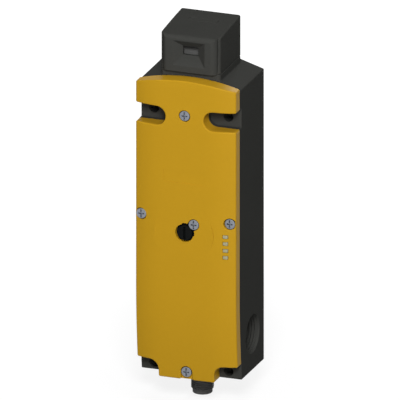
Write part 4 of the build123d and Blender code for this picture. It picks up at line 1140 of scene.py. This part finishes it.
    def build_openings(self, draft: Draft, dial_union: Loop) -> None:
        """Add the screw recesses and the dial's opening.

        Args:
            draft: Mesh under construction.
            dial_union: Outline of the dial's opening in the front.
        """
        front = self.on_front()
        for screw in self.screws:
            mouth = self.recess_ring(screw, self.recess_shoulder)
            ring = self.recess_ring(screw, 0.0)
            shoulder = [(x, -self.surface(x, z) + self.recess_shoulder, z) for x, z in ring]
            base = at_depth(self.screw_floor(screw))
            draft.strip(lifted(mouth, front), shoulder)
            draft.strip(shoulder, lifted(ring, base))
            draft.fill(ring, [circle(screw, self.bore, 20)], base)
        ledge = at_depth(self.depth - self.ledge_sink)
        pocket = at_depth(self.depth - self.pocket_sink)
        back = at_depth(self.bearing_back)
        blind = at_depth(self.seal_bore_end)
        window = self.dial_opening(0.0)
        bearing = circle(self.dial, self.bearing, 64)
        shank = circle(self.seal_screw, self.seal_bore, 20)
        boss = self.dial_boss()
        draft.strip(lifted(dial_union, at_depth(self.depth)), lifted(dial_union, ledge))
        draft.fill(dial_union, [window, shank], ledge)
        draft.strip(lifted(window, ledge), lifted(window, pocket))
        draft.fill(window, [bearing], pocket)
        draft.strip(lifted(bearing, pocket), lifted(bearing, back))
        draft.fill(boss, [bearing], back)
        draft.strip(lifted(boss, back), lifted(boss, self.on_front(self.wall)))
        draft.strip(lifted(shank, ledge), lifted(shank, blind))
        draft.fill(shank, [], blind)


def front_rings(centre: Flat, levels: Sequence[Flat], count: int) -> list[Ring]:
    """Circles round an axis that points forward.

    Args:
        centre: Place of the axis in the front view.
        levels: Radius and depth of each circle.
        count: Points of each circle.

    Returns:
        One ring for each level.
    """
    return [[(x, -depth, z) for x, z in circle(centre, radius, count)] for radius, depth in levels]


@dataclass
class CombinationScrew:
    """Flat-headed screw driven by a blade or a cross driver."""

    centre: Flat
    face: float
    head_height: float
    length: float
    head_radius: float = 2.75
    shank_radius: float = 1.5
    rim: float = 0.3
    slot_half: float = 0.42
    slot_reach: float = 2.25
    cross_reach: float = 1.55
    slot_round: float = 0.2
    slot_taper: float = 0.1
    slot_depth: float = 0.95
    thread_depth: float = 0.22
    thread_step: float = 0.25
    tip: float = 0.4
    facets: int = 40

    def drive(self, inset: float) -> Loop:
        """Outline of the slot with its cross, drawn in by an inset.

        Args:
            inset: How far each side moves in.

        Returns:
            The outline.
        """
        half, long = self.slot_half - inset, self.slot_reach - inset
        short = self.cross_reach - inset
        right = [
            (half, long, self.slot_round),
            (half, half, 0.0),
            (short, half, self.slot_round),
            (short, -half, self.slot_round),
            (half, -half, 0.0),
            (half, -long, self.slot_round),
        ]
        spots = [Vector(spot) for spot in rounded([*right, *mirrored(right)], 30.0)]
        return [(self.centre[0] + spot.x, self.centre[1] + spot.y) for spot in spots]

    def draw(self, draft: Draft) -> None:
        """Draw the screw.

        Args:
            draft: Mesh under construction.
        """
        face, radius = self.face, self.head_radius
        under = face - self.head_height
        levels = [
            (radius - self.rim, face),
            (radius - 0.12, face - 0.05),
            (radius, face - 0.2),
            (radius, under),
            (self.shank_radius, under),
        ]
        steps = max(2, int(self.length / self.thread_step))
        for step in range(1, steps):
            crest = self.shank_radius - (self.thread_depth if step % 2 else 0.0)
            levels.append((crest, under - self.length * step / steps))
        levels.append((self.shank_radius - self.tip, under - self.length))
        tower(draft, front_rings(self.centre, levels, self.facets), first=False)
        mouth, floor = self.drive(0.0), self.drive(self.slot_taper)
        low, top = at_depth(face - self.slot_depth), at_depth(face)
        draft.fill(circle(self.centre, radius - self.rim, self.facets), [mouth], top)
        draft.strip(lifted(mouth, top), lifted(floor, low))
        draft.fill(floor, [], low)


@dataclass
class ReleaseDial:
    """Black dial of the auxiliary release, with groove and pointer."""

    centre: Flat = (0.0, 79.5)
    rim_radius: float = 4.73
    face_radius: float = 4.05
    crown: float = 0.25
    face: float = 43.6
    rim: float = 42.0
    groove_half: Flat = (0.6, 3.3)
    groove_round: float = 0.25
    groove_depth: float = 1.4
    seal_groove: tuple[float, float, float] = (3.6, 40.8, 39.4)
    shaft: tuple[Flat, ...] = (
        (3.0, 38.6),
        (3.0, 37.9),
        (2.5, 37.9),
        (2.5, 37.1),
        (3.0, 37.1),
        (3.0, 31.4),
        (2.0, 31.4),
        (2.0, 29.8),
    )
    pointer_foot: Flat = (0.7, 3.9)
    pointer_tip: Flat = (0.6, 5.3)
    pointer_depths: Flat = (42.2, 41.5)
    facets: int = 64

    def build(self) -> bpy.types.Object:
        """Build the dial with its shaft.

        Returns:
            The new object.
        """
        draft = Draft()
        low = (self.centre[0] - self.groove_half[0], self.centre[1] - self.groove_half[1])
        high = (self.centre[0] + self.groove_half[0], self.centre[1] + self.groove_half[1])
        groove = rounded([(*spot, self.groove_round) for spot in rectangle(low, high)], 30.0)
        crown = circle(self.centre, self.face_radius - self.crown, self.facets)
        face, floor = at_depth(self.face), at_depth(self.face - self.groove_depth)
        draft.fill(crown, [groove], face)
        draft.strip(lifted(groove, face), lifted(groove, floor))
        draft.fill(groove, [], floor)
        neck, near, far = self.seal_groove
        levels = [
            (self.face_radius - self.crown, self.face),
            (self.face_radius - 0.07, self.face - 0.07),
            (self.face_radius, self.face - 0.25),
            (self.face_radius, self.rim),
            (self.rim_radius - 0.1, self.rim),
            (self.rim_radius, self.rim - 0.1),
            (self.rim_radius, near),
            (neck, near),
            (neck, far),
            (self.rim_radius, far),
            (self.rim_radius, self.shaft[0][1]),
            *self.shaft,
        ]
        tower(draft, front_rings(self.centre, levels, self.facets), first=False)
        self.draw_pointer(draft)
        return draft.finish("release_dial_moulding")

    def draw_pointer(self, draft: Draft) -> None:
        """Draw the pointer that stands out at the top of the rim.

        Args:
            draft: Mesh under construction.
        """
        x, z = self.centre
        (foot, low), (tip, high) = self.pointer_foot, self.pointer_tip
        low, high = z + low, z + high
        tooth = [(x - foot, low), (x + foot, low), (x + tip, high), (x - tip, high)]
        outline = rounded([(*spot, 0.15) for spot in tooth], 45.0)
        tower(draft, [lifted(outline, at_depth(depth)) for depth in self.pointer_depths])


@dataclass
class LightPipe:
    """Clear bar that ends just proud of the cover."""

    height: float
    x: float = 21.8
    front: float = 43.42
    back: float = 34.6
    half: Flat = (1.30, 0.87)
    corner: float = 0.36
    nose: tuple[Flat, ...] = ((0.34, 0.0), (0.2, 0.04), (0.08, 0.12), (0.0, 0.32))
    flange: tuple[float, float, float] = (0.4, 40.0, 39.0)

    def draw(self, draft: Draft) -> None:
        """Draw the bar with a rounded nose and its flange.

        Args:
            draft: Mesh under construction.
        """
        low = (self.x - self.half[0], self.height - self.half[1])
        high = (self.x + self.half[0], self.height + self.half[1])
        outline = rounded([(*spot, self.corner) for spot in rectangle(low, high)], 15.0)
        grow, near, far = self.flange
        levels = [(inset, self.front - sink) for inset, sink in self.nose]
        levels += [(0.0, near), (-grow, near), (-grow, far), (0.0, far), (0.0, self.back)]
        tower(draft, [lifted(drawn_in(outline, inset), at_depth(y)) for inset, y in levels])


# Threads


@dataclass(frozen=True)
class Thread:
    """Screw thread drawn as one winding surface."""

    radius: float
    depth: float
    pitch: float
    start: float
    end: float
    inward: bool = False
    rows_per_pitch: int = 8
    runout: float = 0.6
    slope: float = 1.35
    flat: float = 0.18

    def rings(self, place: Callable[[float, float, float], Point], count: int) -> list[Ring]:
        """Rings along the thread.

        Args:
            place: Puts a radius, a turn and a distance along the axis in space.
            count: Points of each ring.

        Returns:
            The rings from start to end.
        """
        least = self.rows_per_pitch
        rows = max(least, math.ceil(abs(self.end - self.start) / self.pitch * least))
        made: list[Ring] = []
        for row in range(rows + 1):
            along = self.start + (self.end - self.start) * row / rows
            from_end = min(abs(along - self.start), abs(self.end - along))
            share = min(1.0, from_end / (self.runout * self.pitch))
            ring: Ring = []
            for index in range(count):
                turn = 2 * math.pi * index / count
                phase = (along / self.pitch + index / count) % 1.0
                crest = 1 - abs(2 * phase - 1)
                crest = min(1.0, max(0.0, crest * self.slope - self.flat)) * share
                radius = self.radius - self.depth * (crest if self.inward else 1 - crest)
                ring.append(place(radius, turn, along))
            made.append(ring)
        return made


@dataclass
class CableEntry:
    """Threaded M20 entry in a side of the housing."""

    side: int
    radius: float = 10.0
    height: float = 19.4
    depth: float = 16.8
    mouth: float = 27.0
    length: float = 8.5
    thread_depth: float = 0.75
    pitch: float = 1.5
    ends: Flat = (0.7, 0.3)
    skin: float = 0.01
    facets: int = 72

    def place(self, radius: float, turn: float, along: float) -> Point:
        """Point at a radius and turn, a distance inwards from the mouth."""
        y = -self.depth + radius * math.cos(turn)
        return (self.side * (self.mouth - along), y, self.height + radius * math.sin(turn))

    def circle(self, grow: float, along: float) -> Ring:
        """Ring round the entry, a little wider than its bore."""
        turns = [2 * math.pi * index / self.facets for index in range(self.facets)]
        return [self.place(self.radius + grow, turn, along) for turn in turns]

    def build(self) -> bpy.types.Object:
        """Build the ring that carries the thread.

        Returns:
            The new object.
        """
        draft = Draft()
        start, end = self.ends[0], self.length - self.ends[1]
        thread = Thread(self.radius, self.thread_depth, self.pitch, start, end, inward=True)
        rings = thread.rings(self.place, self.facets)
        rings.append(self.circle(0.0, end))
        rings += [self.circle(self.skin, end), self.circle(self.skin, start)]
        tower(draft, [*rings, rings[0]], first=False, last=False)
        side = "right" if self.side > 0 else "left"
        return draft.finish(f"entry_thread_{side}")


@dataclass
class Plug:
    """Round M12 plug under the housing."""

    depth: float = 16.8
    thread_radius: float = 5.85
    thread_end: float = -12.5
    tip: float = -15.0
    tip_radius: float = 5.1
    bore: float = 4.25
    inner_end: float = 7.5
    thread_depth: float = 0.55
    pitch: float = 1.0
    thread_top: float = -2.7
    collar_radius: float = 8.6
    collar_low: float = -2.6
    collar_high: float = -0.8
    collar_round: float = 0.2
    neck_radius: float = 6.9
    facets: int = 64

    def place(self, radius: float, turn: float, along: float) -> Point:
        """Point at a radius and turn round the plug's axis, at a height."""
        return (radius * math.cos(turn), -self.depth + radius * math.sin(turn), along)

    def circle(self, radius: float, height: float) -> Ring:
        """Ring round the plug's axis."""
        turns = [2 * math.pi * index / self.facets for index in range(self.facets)]
        return [self.place(radius, turn, height) for turn in turns]

    def build(self) -> bpy.types.Object:
        """Build the shell, from the tip up to the inside of the housing.

        Returns:
            The new object.
        """
        draft = Draft()
        tip, bore, top, edge = self.tip, self.bore, self.inner_end, self.collar_round
        low = [
            (bore, top),
            (bore, tip + 0.25),
            (bore + 0.15, tip),
            (self.tip_radius - 0.25, tip),
            (self.tip_radius, tip + 0.3),
            (self.tip_radius, self.thread_end - 0.9),
        ]
        high = [
            (self.thread_radius - self.thread_depth, self.collar_low),
            (self.collar_radius - edge, self.collar_low),
            (self.collar_radius, self.collar_low + edge),
            (self.collar_radius, self.collar_high - edge),
            (self.collar_radius - edge, self.collar_high),
            (self.neck_radius, self.collar_high),
            (self.neck_radius, top - 0.1),
            (self.neck_radius - 0.4, top),
            (bore, top),
        ]
        start = self.thread_end - 0.4
        thread = Thread(self.thread_radius, self.thread_depth, self.pitch, start, self.thread_top)
        rings = [self.circle(radius, height) for radius, height in low]
        rings += thread.rings(self.place, self.facets)
        rings += [self.circle(radius, height) for radius, height in high]
        tower(draft, rings, first=False, last=False)
        return draft.finish("plug_threaded_shell")


# Softened copies of the frame's own shapes


def copied(node: str) -> bmesh.types.BMesh:
    """Copy of a node's shape with its faces joined up.

    Args:
        node: Node of the frame.

    Returns:
        The shape, which its user frees.
    """
    shape = bmesh.new()
    shape.from_mesh(frame["nodes"][node].data)
    bmesh.ops.remove_doubles(shape, verts=shape.verts, dist=COPY_WELD)
    return shape


def softened(
    node: str,
    name: str,
    chooser: Callable[[bmesh.types.BMEdge], float],
    steps: int = 3,
    clamp: bool = False,
) -> bpy.types.Object:
    """Copy a node's shape and round some of its edges.

    Args:
        node: Node of the frame.
        name: Name of the new piece.
        chooser: Gives the radius in metres for an edge, or nought.
        steps: Facets across each rounding.
        clamp: Whether roundings stop where they would meet.

    Returns:
        The new object.
    """
    shape = copied(node)
    bmesh.ops.dissolve_limit(shape, angle_limit=FLAT_ANGLE, verts=shape.verts, edges=shape.edges)
    wanted: dict[float, list[bmesh.types.BMEdge]] = {}
    for edge in shape.edges:
        if edge.is_manifold and edge.calc_face_angle(0.0) > BEVEL_ANGLE:
            radius = chooser(edge)
            if radius > 0:
                wanted.setdefault(radius, []).append(edge)
    for radius, edges in sorted(wanted.items(), reverse=True):
        alive = [edge for edge in edges if edge.is_valid]
        bmesh.ops.bevel(
            shape,
            geom=alive,
            offset=radius,
            offset_type="OFFSET",
            segments=steps,
            profile=0.5,
            affect="EDGES",
            clamp_overlap=clamp,
        )
    return shaded(shape, name)


def in_millimetres(point: Vector) -> Vector:
    """Point of the frame in the housing's own millimetres."""
    return Vector((point.x, point.y, point.z)) / MILLIMETRE + Vector((0, 0, ORIGIN_HEIGHT))


def from_neck(point: Vector) -> float:
    """Distance from the axis of the head's round neck."""
    return math.hypot(point.x, point.y + NECK_DEPTH)


@dataclass
class Housing:
    """Black base that carries everything else, with its edge radius in metres."""

    half_width: float = 27.0
    platform: float = 156.0
    platform_depth: float = 36.0
    neck_opening: float = 13.0
    reach: float = 0.02
    edge: float = 0.00045

    def chooser(self, edge: bmesh.types.BMEdge) -> float:
        """Radius for an edge of the outside.

        Args:
            edge: Edge of the shape.

        Returns:
            The radius in metres, or nought.
        """
        ends = [in_millimetres(corner.co) for corner in edge.verts]
        on_side = all(abs(abs(end.x) - self.half_width) < self.reach for end in ends)
        on_back = all(abs(end.y) < self.reach for end in ends)
        on_floor = all(abs(end.z) < self.reach for end in ends)
        on_top = all(end.z > self.platform and end.y > -self.platform_depth for end in ends)
        outside = on_top and max(from_neck(end) for end in ends) > self.neck_opening
        return self.edge if on_side or on_back or on_floor or outside else 0.0

    def build(self) -> bpy.types.Object:
        """Build the base with softened outer edges."""
        return softened("enclosure_base", "enclosure_base_moulding", self.chooser)


@dataclass
class ActuatorHead:
    """Black turnable head with its face and plug, and edge radii in metres."""

    top: float = 182.0
    foot: float = 163.6
    foot_opening: float = 12.9
    slot: tuple[float, float, float] = (8.0, 13.5, 17.9)
    slot_zone: tuple[float, float, float] = (8.5, 12.0, 19.0)
    seam: Flat = (14.7, 35.07)
    front_half: float = 14.8
    front_depth: float = 32.5
    face_depth: float = 33.2
    top_edge: float = 0.0007
    low_edge: float = 0.0003
    seam_edge: float = 0.0007

    def on_seam(self, point: Vector) -> bool:
        """Tell whether a point lies on an upright seam of the head's face."""
        x, depth = self.seam
        return abs(abs(point.x) - x) < 0.05 and abs(point.y + depth) < 0.08

    def off_slot(self, point: Vector) -> bool:
        """Tell whether a point keeps clear of the slot in the top."""
        half, near, far = self.slot_zone
        return abs(point.x) > half or point.y > -near or point.y < -far

    def on_slot(self, point: Vector) -> bool:
        """Tell whether a point lies on the rim of the slot in the top."""
        half, near, far = self.slot
        return abs(point.x) < half and -far < point.y < -near

    def housing_edge(self, edge: bmesh.types.BMEdge) -> float:
        """Radius for an edge of the head's housing.

        Args:
            edge: Edge of the shape.

        Returns:
            The radius in metres, or nought.
        """
        ends = [in_millimetres(corner.co) for corner in edge.verts]
        ups = [face.normal.z for face in edge.link_faces]
        if all(self.on_seam(end) for end in ends):
            return self.seam_edge
        if all(abs(end.x) < self.front_half and end.y < -self.front_depth for end in ends):
            return 0.0
        if all(end.z > self.top for end in ends) and max(ups) > LOOKS_UP:
            if all(self.off_slot(end) for end in ends):
                return self.top_edge
            rim = all(self.on_slot(end) for end in ends) and min(ups) < LOOKS_ASIDE
            return self.low_edge if rim else 0.0
        if all(abs(end.z - self.foot) < 0.02 for end in ends) and min(ups) < -LOOKS_UP:
            rim = all(from_neck(end) > self.foot_opening for end in ends)
            return self.low_edge if rim else 0.0
        return 0.0

    def face_edge(self, edge: bmesh.types.BMEdge) -> float:
        """Radius for an edge of the head's face."""
        ends = [in_millimetres(corner.co) for corner in edge.verts]
        return self.low_edge if all(end.y < -self.face_depth for end in ends) else 0.0

    def plug_edge(self, edge: bmesh.types.BMEdge) -> float:
        """Radius for an edge of the plug in the top."""
        ups = [face.normal.z for face in edge.link_faces]
        return self.low_edge if max(ups) > LOOKS_UP and min(ups) < LOOKS_ASIDE else 0.0

    def build(self) -> list[tuple[bpy.types.Object, str]]:
        """Build the housing, the face and the plug in the top.

        Returns:
            Each piece with the node that it stands for.
        """
        housing = softened("head_housing", "head_housing_moulding", self.housing_edge)
        face = softened("head_face", "head_face_moulding", self.face_edge, 2, True)
        plug = softened("top_slot_plug", "top_slot_plug_moulding", self.plug_edge, 2)
        return [(housing, "head_housing"), (face, "head_face"), (plug, "top_slot_plug")]


# Studio


@dataclass(frozen=True)
class SoftLamp:
    """Square lamp that looks at the object, in metres and watts."""

    name: str
    place: Point
    size: float
    power: float

    def build(self) -> None:
        """Build the lamp."""
        data = bpy.data.lights.new(f"studio_{self.name}", "AREA")
        data.size = self.size
        data.energy = self.power
        lamp = bpy.data.objects.new(f"studio_{self.name}", data)
        lamp.location = self.place
        lamp.rotation_euler = (-Vector(self.place)).to_track_quat("-Z", "Y").to_euler()
        bpy.context.scene.collection.objects.link(lamp)


@dataclass
class Studio:
    """Plain pale floor, soft lamps and the camera."""

    azimuth: float = 20.0
    elevation: float = 20.0
    distance: float = 3.0
    pixels_per_millimetre: float = 1.9766
    image: float = 400.0
    sideways: float = -7.058
    upwards: float = 9.208
    floor_height: float = -0.0876
    floor_radius: float = 1.6
    floor_grey: float = 0.20
    floor_fade: Flat = (0.04, 0.30)
    floor_glow: Flat = (0.84, 1.0)
    world_strength: float = 0.06
    lamps: tuple[SoftLamp, ...] = (
        SoftLamp("key", (0.52, -1.42, 1.06), 0.5, 28.0),
        SoftLamp("front", (0.60, -1.70, -0.02), 0.5, 11.5),
        SoftLamp("top", (0.1, -0.2, 1.75), 0.6, 6.0),
        SoftLamp("rear", (-0.1, 1.7, 0.5), 0.6, 12.0),
    )

    def build(self) -> None:
        """Build the whole studio."""
        self.build_floor()
        self.build_world()
        for lamp in self.lamps:
            lamp.build()
        self.build_camera()
        bpy.context.scene.view_settings.view_transform = "Standard"

    def build_floor(self) -> None:
        """Build a pale floor that keeps the shadow and fades to white."""
        draft = bmesh.new()
        bmesh.ops.create_circle(draft, cap_ends=True, segments=96, radius=self.floor_radius)
        data = bpy.data.meshes.new("studio_floor")
        draft.to_mesh(data)
        draft.free()
        floor = bpy.data.objects.new("studio_floor", data)
        floor.location.z = self.floor_height
        bpy.context.scene.collection.objects.link(floor)
        paint = bpy.data.materials.new("studio_floor_paint")
        paint.use_nodes = True
        tree = paint.node_tree
        tree.nodes.clear()
        seen = tree.nodes.new("ShaderNodeLightPath")
        matt = tree.nodes.new("ShaderNodeBsdfDiffuse")
        matt.inputs["Color"].default_value = (*[self.floor_grey] * 3, 1)
        glow = tree.nodes.new("ShaderNodeEmission")
        place = tree.nodes.new("ShaderNodeTexCoord")
        away = tree.nodes.new("ShaderNodeVectorMath")
        away.operation = "LENGTH"
        tree.links.new(place.outputs["Object"], away.inputs[0])
        fade = tree.nodes.new("ShaderNodeMapRange")
        fade.interpolation_type = "SMOOTHSTEP"
        for end, far, glow_there in zip(("Min", "Max"), self.floor_fade, self.floor_glow):
            fade.inputs[f"From {end}"].default_value = far
            fade.inputs[f"To {end}"].default_value = glow_there
        tree.links.new(away.outputs["Value"], fade.inputs["Value"])
        tree.links.new(fade.outputs["Result"], glow.inputs["Strength"])
        both = tree.nodes.new("ShaderNodeAddShader")
        tree.links.new(matt.outputs[0], both.inputs[0])
        tree.links.new(glow.outputs[0], both.inputs[1])
        choose = tree.nodes.new("ShaderNodeMixShader")
        tree.links.new(self.seen_directly(tree, seen), choose.inputs[0])
        tree.links.new(matt.outputs[0], choose.inputs[1])
        tree.links.new(both.outputs[0], choose.inputs[2])
        output = tree.nodes.new("ShaderNodeOutputMaterial")
        tree.links.new(choose.outputs[0], output.inputs["Surface"])
        data.materials.append(paint)

    @staticmethod
    def seen_directly(tree: bpy.types.NodeTree, path: bpy.types.Node) -> bpy.types.NodeSocket:
        """One for rays that show the background: seen, mirrored or passed on.

        Args:
            tree: Node tree that is being built.
            path: Its light path node.

        Returns:
            Socket of that one, or nought for other rays.
        """
        first = tree.nodes.new("ShaderNodeMath")
        first.operation = "MAXIMUM"
        tree.links.new(path.outputs["Is Camera Ray"], first.inputs[0])
        tree.links.new(path.outputs["Is Glossy Ray"], first.inputs[1])
        second = tree.nodes.new("ShaderNodeMath")
        second.operation = "MAXIMUM"
        tree.links.new(first.outputs[0], second.inputs[0])
        tree.links.new(path.outputs["Is Transmission Ray"], second.inputs[1])
        return second.outputs[0]

    def build_world(self) -> None:
        """Build a world that is white to look at and dim as a light."""
        world = bpy.data.worlds.new("studio_world")
        bpy.context.scene.world = world
        world.use_nodes = True
        tree = world.node_tree
        tree.nodes.clear()
        path = tree.nodes.new("ShaderNodeLightPath")
        dim = tree.nodes.new("ShaderNodeBackground")
        dim.inputs["Color"].default_value = (0.95, 0.97, 1.0, 1)
        dim.inputs["Strength"].default_value = self.world_strength
        white = tree.nodes.new("ShaderNodeBackground")
        white.inputs["Strength"].default_value = 1.0
        white.inputs["Color"].default_value = (1, 1, 1, 1)
        choose = tree.nodes.new("ShaderNodeMixShader")
        tree.links.new(self.seen_directly(tree, path), choose.inputs[0])
        tree.links.new(dim.outputs[0], choose.inputs[1])
        tree.links.new(white.outputs[0], choose.inputs[2])
        output = tree.nodes.new("ShaderNodeOutputWorld")
        tree.links.new(choose.outputs[0], output.inputs["Surface"])

    def build_camera(self) -> None:
        """Build the camera at the photograph's angle, without perspective."""
        turn, rise = math.radians(self.azimuth), math.radians(self.elevation)
        back = Vector(
            (math.sin(turn) * math.cos(rise), -math.cos(turn) * math.cos(rise), math.sin(rise))
        )
        right = Vector((math.cos(turn), math.sin(turn), 0))
        up = back.cross(right)
        target = (right * self.sideways + up * self.upwards) * MILLIMETRE
        data = bpy.data.cameras.new("studio_camera")
        width = self.image / self.pixels_per_millimetre * MILLIMETRE
        data.type = "ORTHO"
        data.ortho_scale = width
        camera = bpy.data.objects.new("studio_camera", data)
        camera.location = target + back * self.distance
        camera.rotation_euler = (-back).to_track_quat("-Z", "Y").to_euler()
        bpy.context.scene.collection.objects.link(camera)
        bpy.context.scene.camera = camera


# How far the cover screws reach into the housing, and sizes of the seal screw
SCREW_GRIP = 5.6
SEAL_SCREW_SINK = 0.1
SEAL_SCREW_HEAD = 1.5
SEAL_SCREW_LENGTH = 3.8


def build_fasteners(cover: FrontCover) -> list[tuple[bpy.types.Object, str]]:
    """Build the cover screws and the seal screw.

    Args:
        cover: The cover that they hold.

    Returns:
        Each piece with the node that it stands for.
    """
    clamps = Draft()
    for place in (*cover.screws, cover.low_screw):
        face = cover.surface(*place) - cover.screw_sink
        length = face - cover.head_height - cover.seam_depth(place[1]) + SCREW_GRIP
        CombinationScrew(place, face, cover.head_height, length).draw(clamps)
    seal = Draft()
    face = cover.depth - SEAL_SCREW_SINK
    CombinationScrew(cover.seal_screw, face, SEAL_SCREW_HEAD, SEAL_SCREW_LENGTH).draw(seal)
    return [
        (clamps.finish("cover_screw_set"), "cover_screws"),
        (seal.finish("seal_screw_head"), "seal_screw"),
    ]


@dataclass(frozen=True)
class Spring:
    """Coil spring between two bodies, copied from the wire of its node."""

    node: str
    joint: str
    axis: int
    pressed: bool = False

    def fit(self, shop: Workshop) -> None:
        """Copy the node's wire and dress it; a pressed spring hangs on the parent body of its
        joint, the others stay unattached where they are.

        Args:
            shop: Workshop that dresses the piece.
        """
        piece = shaded(copied(self.node), f"{self.node}_wire", WIRE_SHARP_ANGLE)
        shop.dress(piece, "spring_steel", [self.node])
        low, high = (Vector(corner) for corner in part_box(self.node))
        start = (low + high) / 2
        end = start.copy()
        start[self.axis], end[self.axis] = low[self.axis], high[self.axis]
        joint = next(item for item in frame["joints"] if item["name"] == self.joint)
        if self.pressed:
            travel = max(abs(limit) for limit in joint["range_m"])
            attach(piece, joint["parent"])
            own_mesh(piece)
        else:
            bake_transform(piece)
        log.info("spring %s follows %s", piece.name, self.joint)


SPRINGS = (
    Spring("plunger_spring", "plunger_slide", 2),
    Spring("armature_spring", "armature_slide", 0, pressed=True),
    Spring("bolt_spring", "bolt_slide", 0),
)


def main() -> None:
    """Build, dress and report every piece."""
    logging.basicConfig(level=logging.INFO, format="%(message)s")
    shop = Workshop()
    replaced: set[str] = set()

    def place(piece: bpy.types.Object, body: str, slot: str, *nodes: str) -> None:
        """Fit a piece and note the nodes that it replaces."""
        shop.fit(piece, body, slot, nodes)
        replaced.update(nodes)

    cover = FrontCover()
    place(cover.build(), "root", "yellow_plastic", "front_cover")
    place(Housing().build(), "root", "black_plastic", "enclosure_base")
    for piece, node in ActuatorHead().build():
        place(piece, "head", "black_plastic", node)
    for piece, node in build_fasteners(cover):
        place(piece, "root", "zinc_screw", node)
    place(ReleaseDial().build(), "dial", "dial_black", "release_dial")
    pipes = Draft()
    for height in cover.lamp_heights:
        LightPipe(height).draw(pipes)
    place(pipes.finish("light_pipe_set"), "root", "light_pipe", "led_light_pipes")
    for side in (-1, 1):
        place(CableEntry(side).build(), "root", "black_plastic")
    place(Plug().build(), "root", "plug_black", "plug_shell")
    for spring in SPRINGS:
        spring.fit(shop)
        replaced.add(spring.node)
    shop.dress_nodes(replaced)
    Studio().build()


if __name__ == "__main__":
    main()
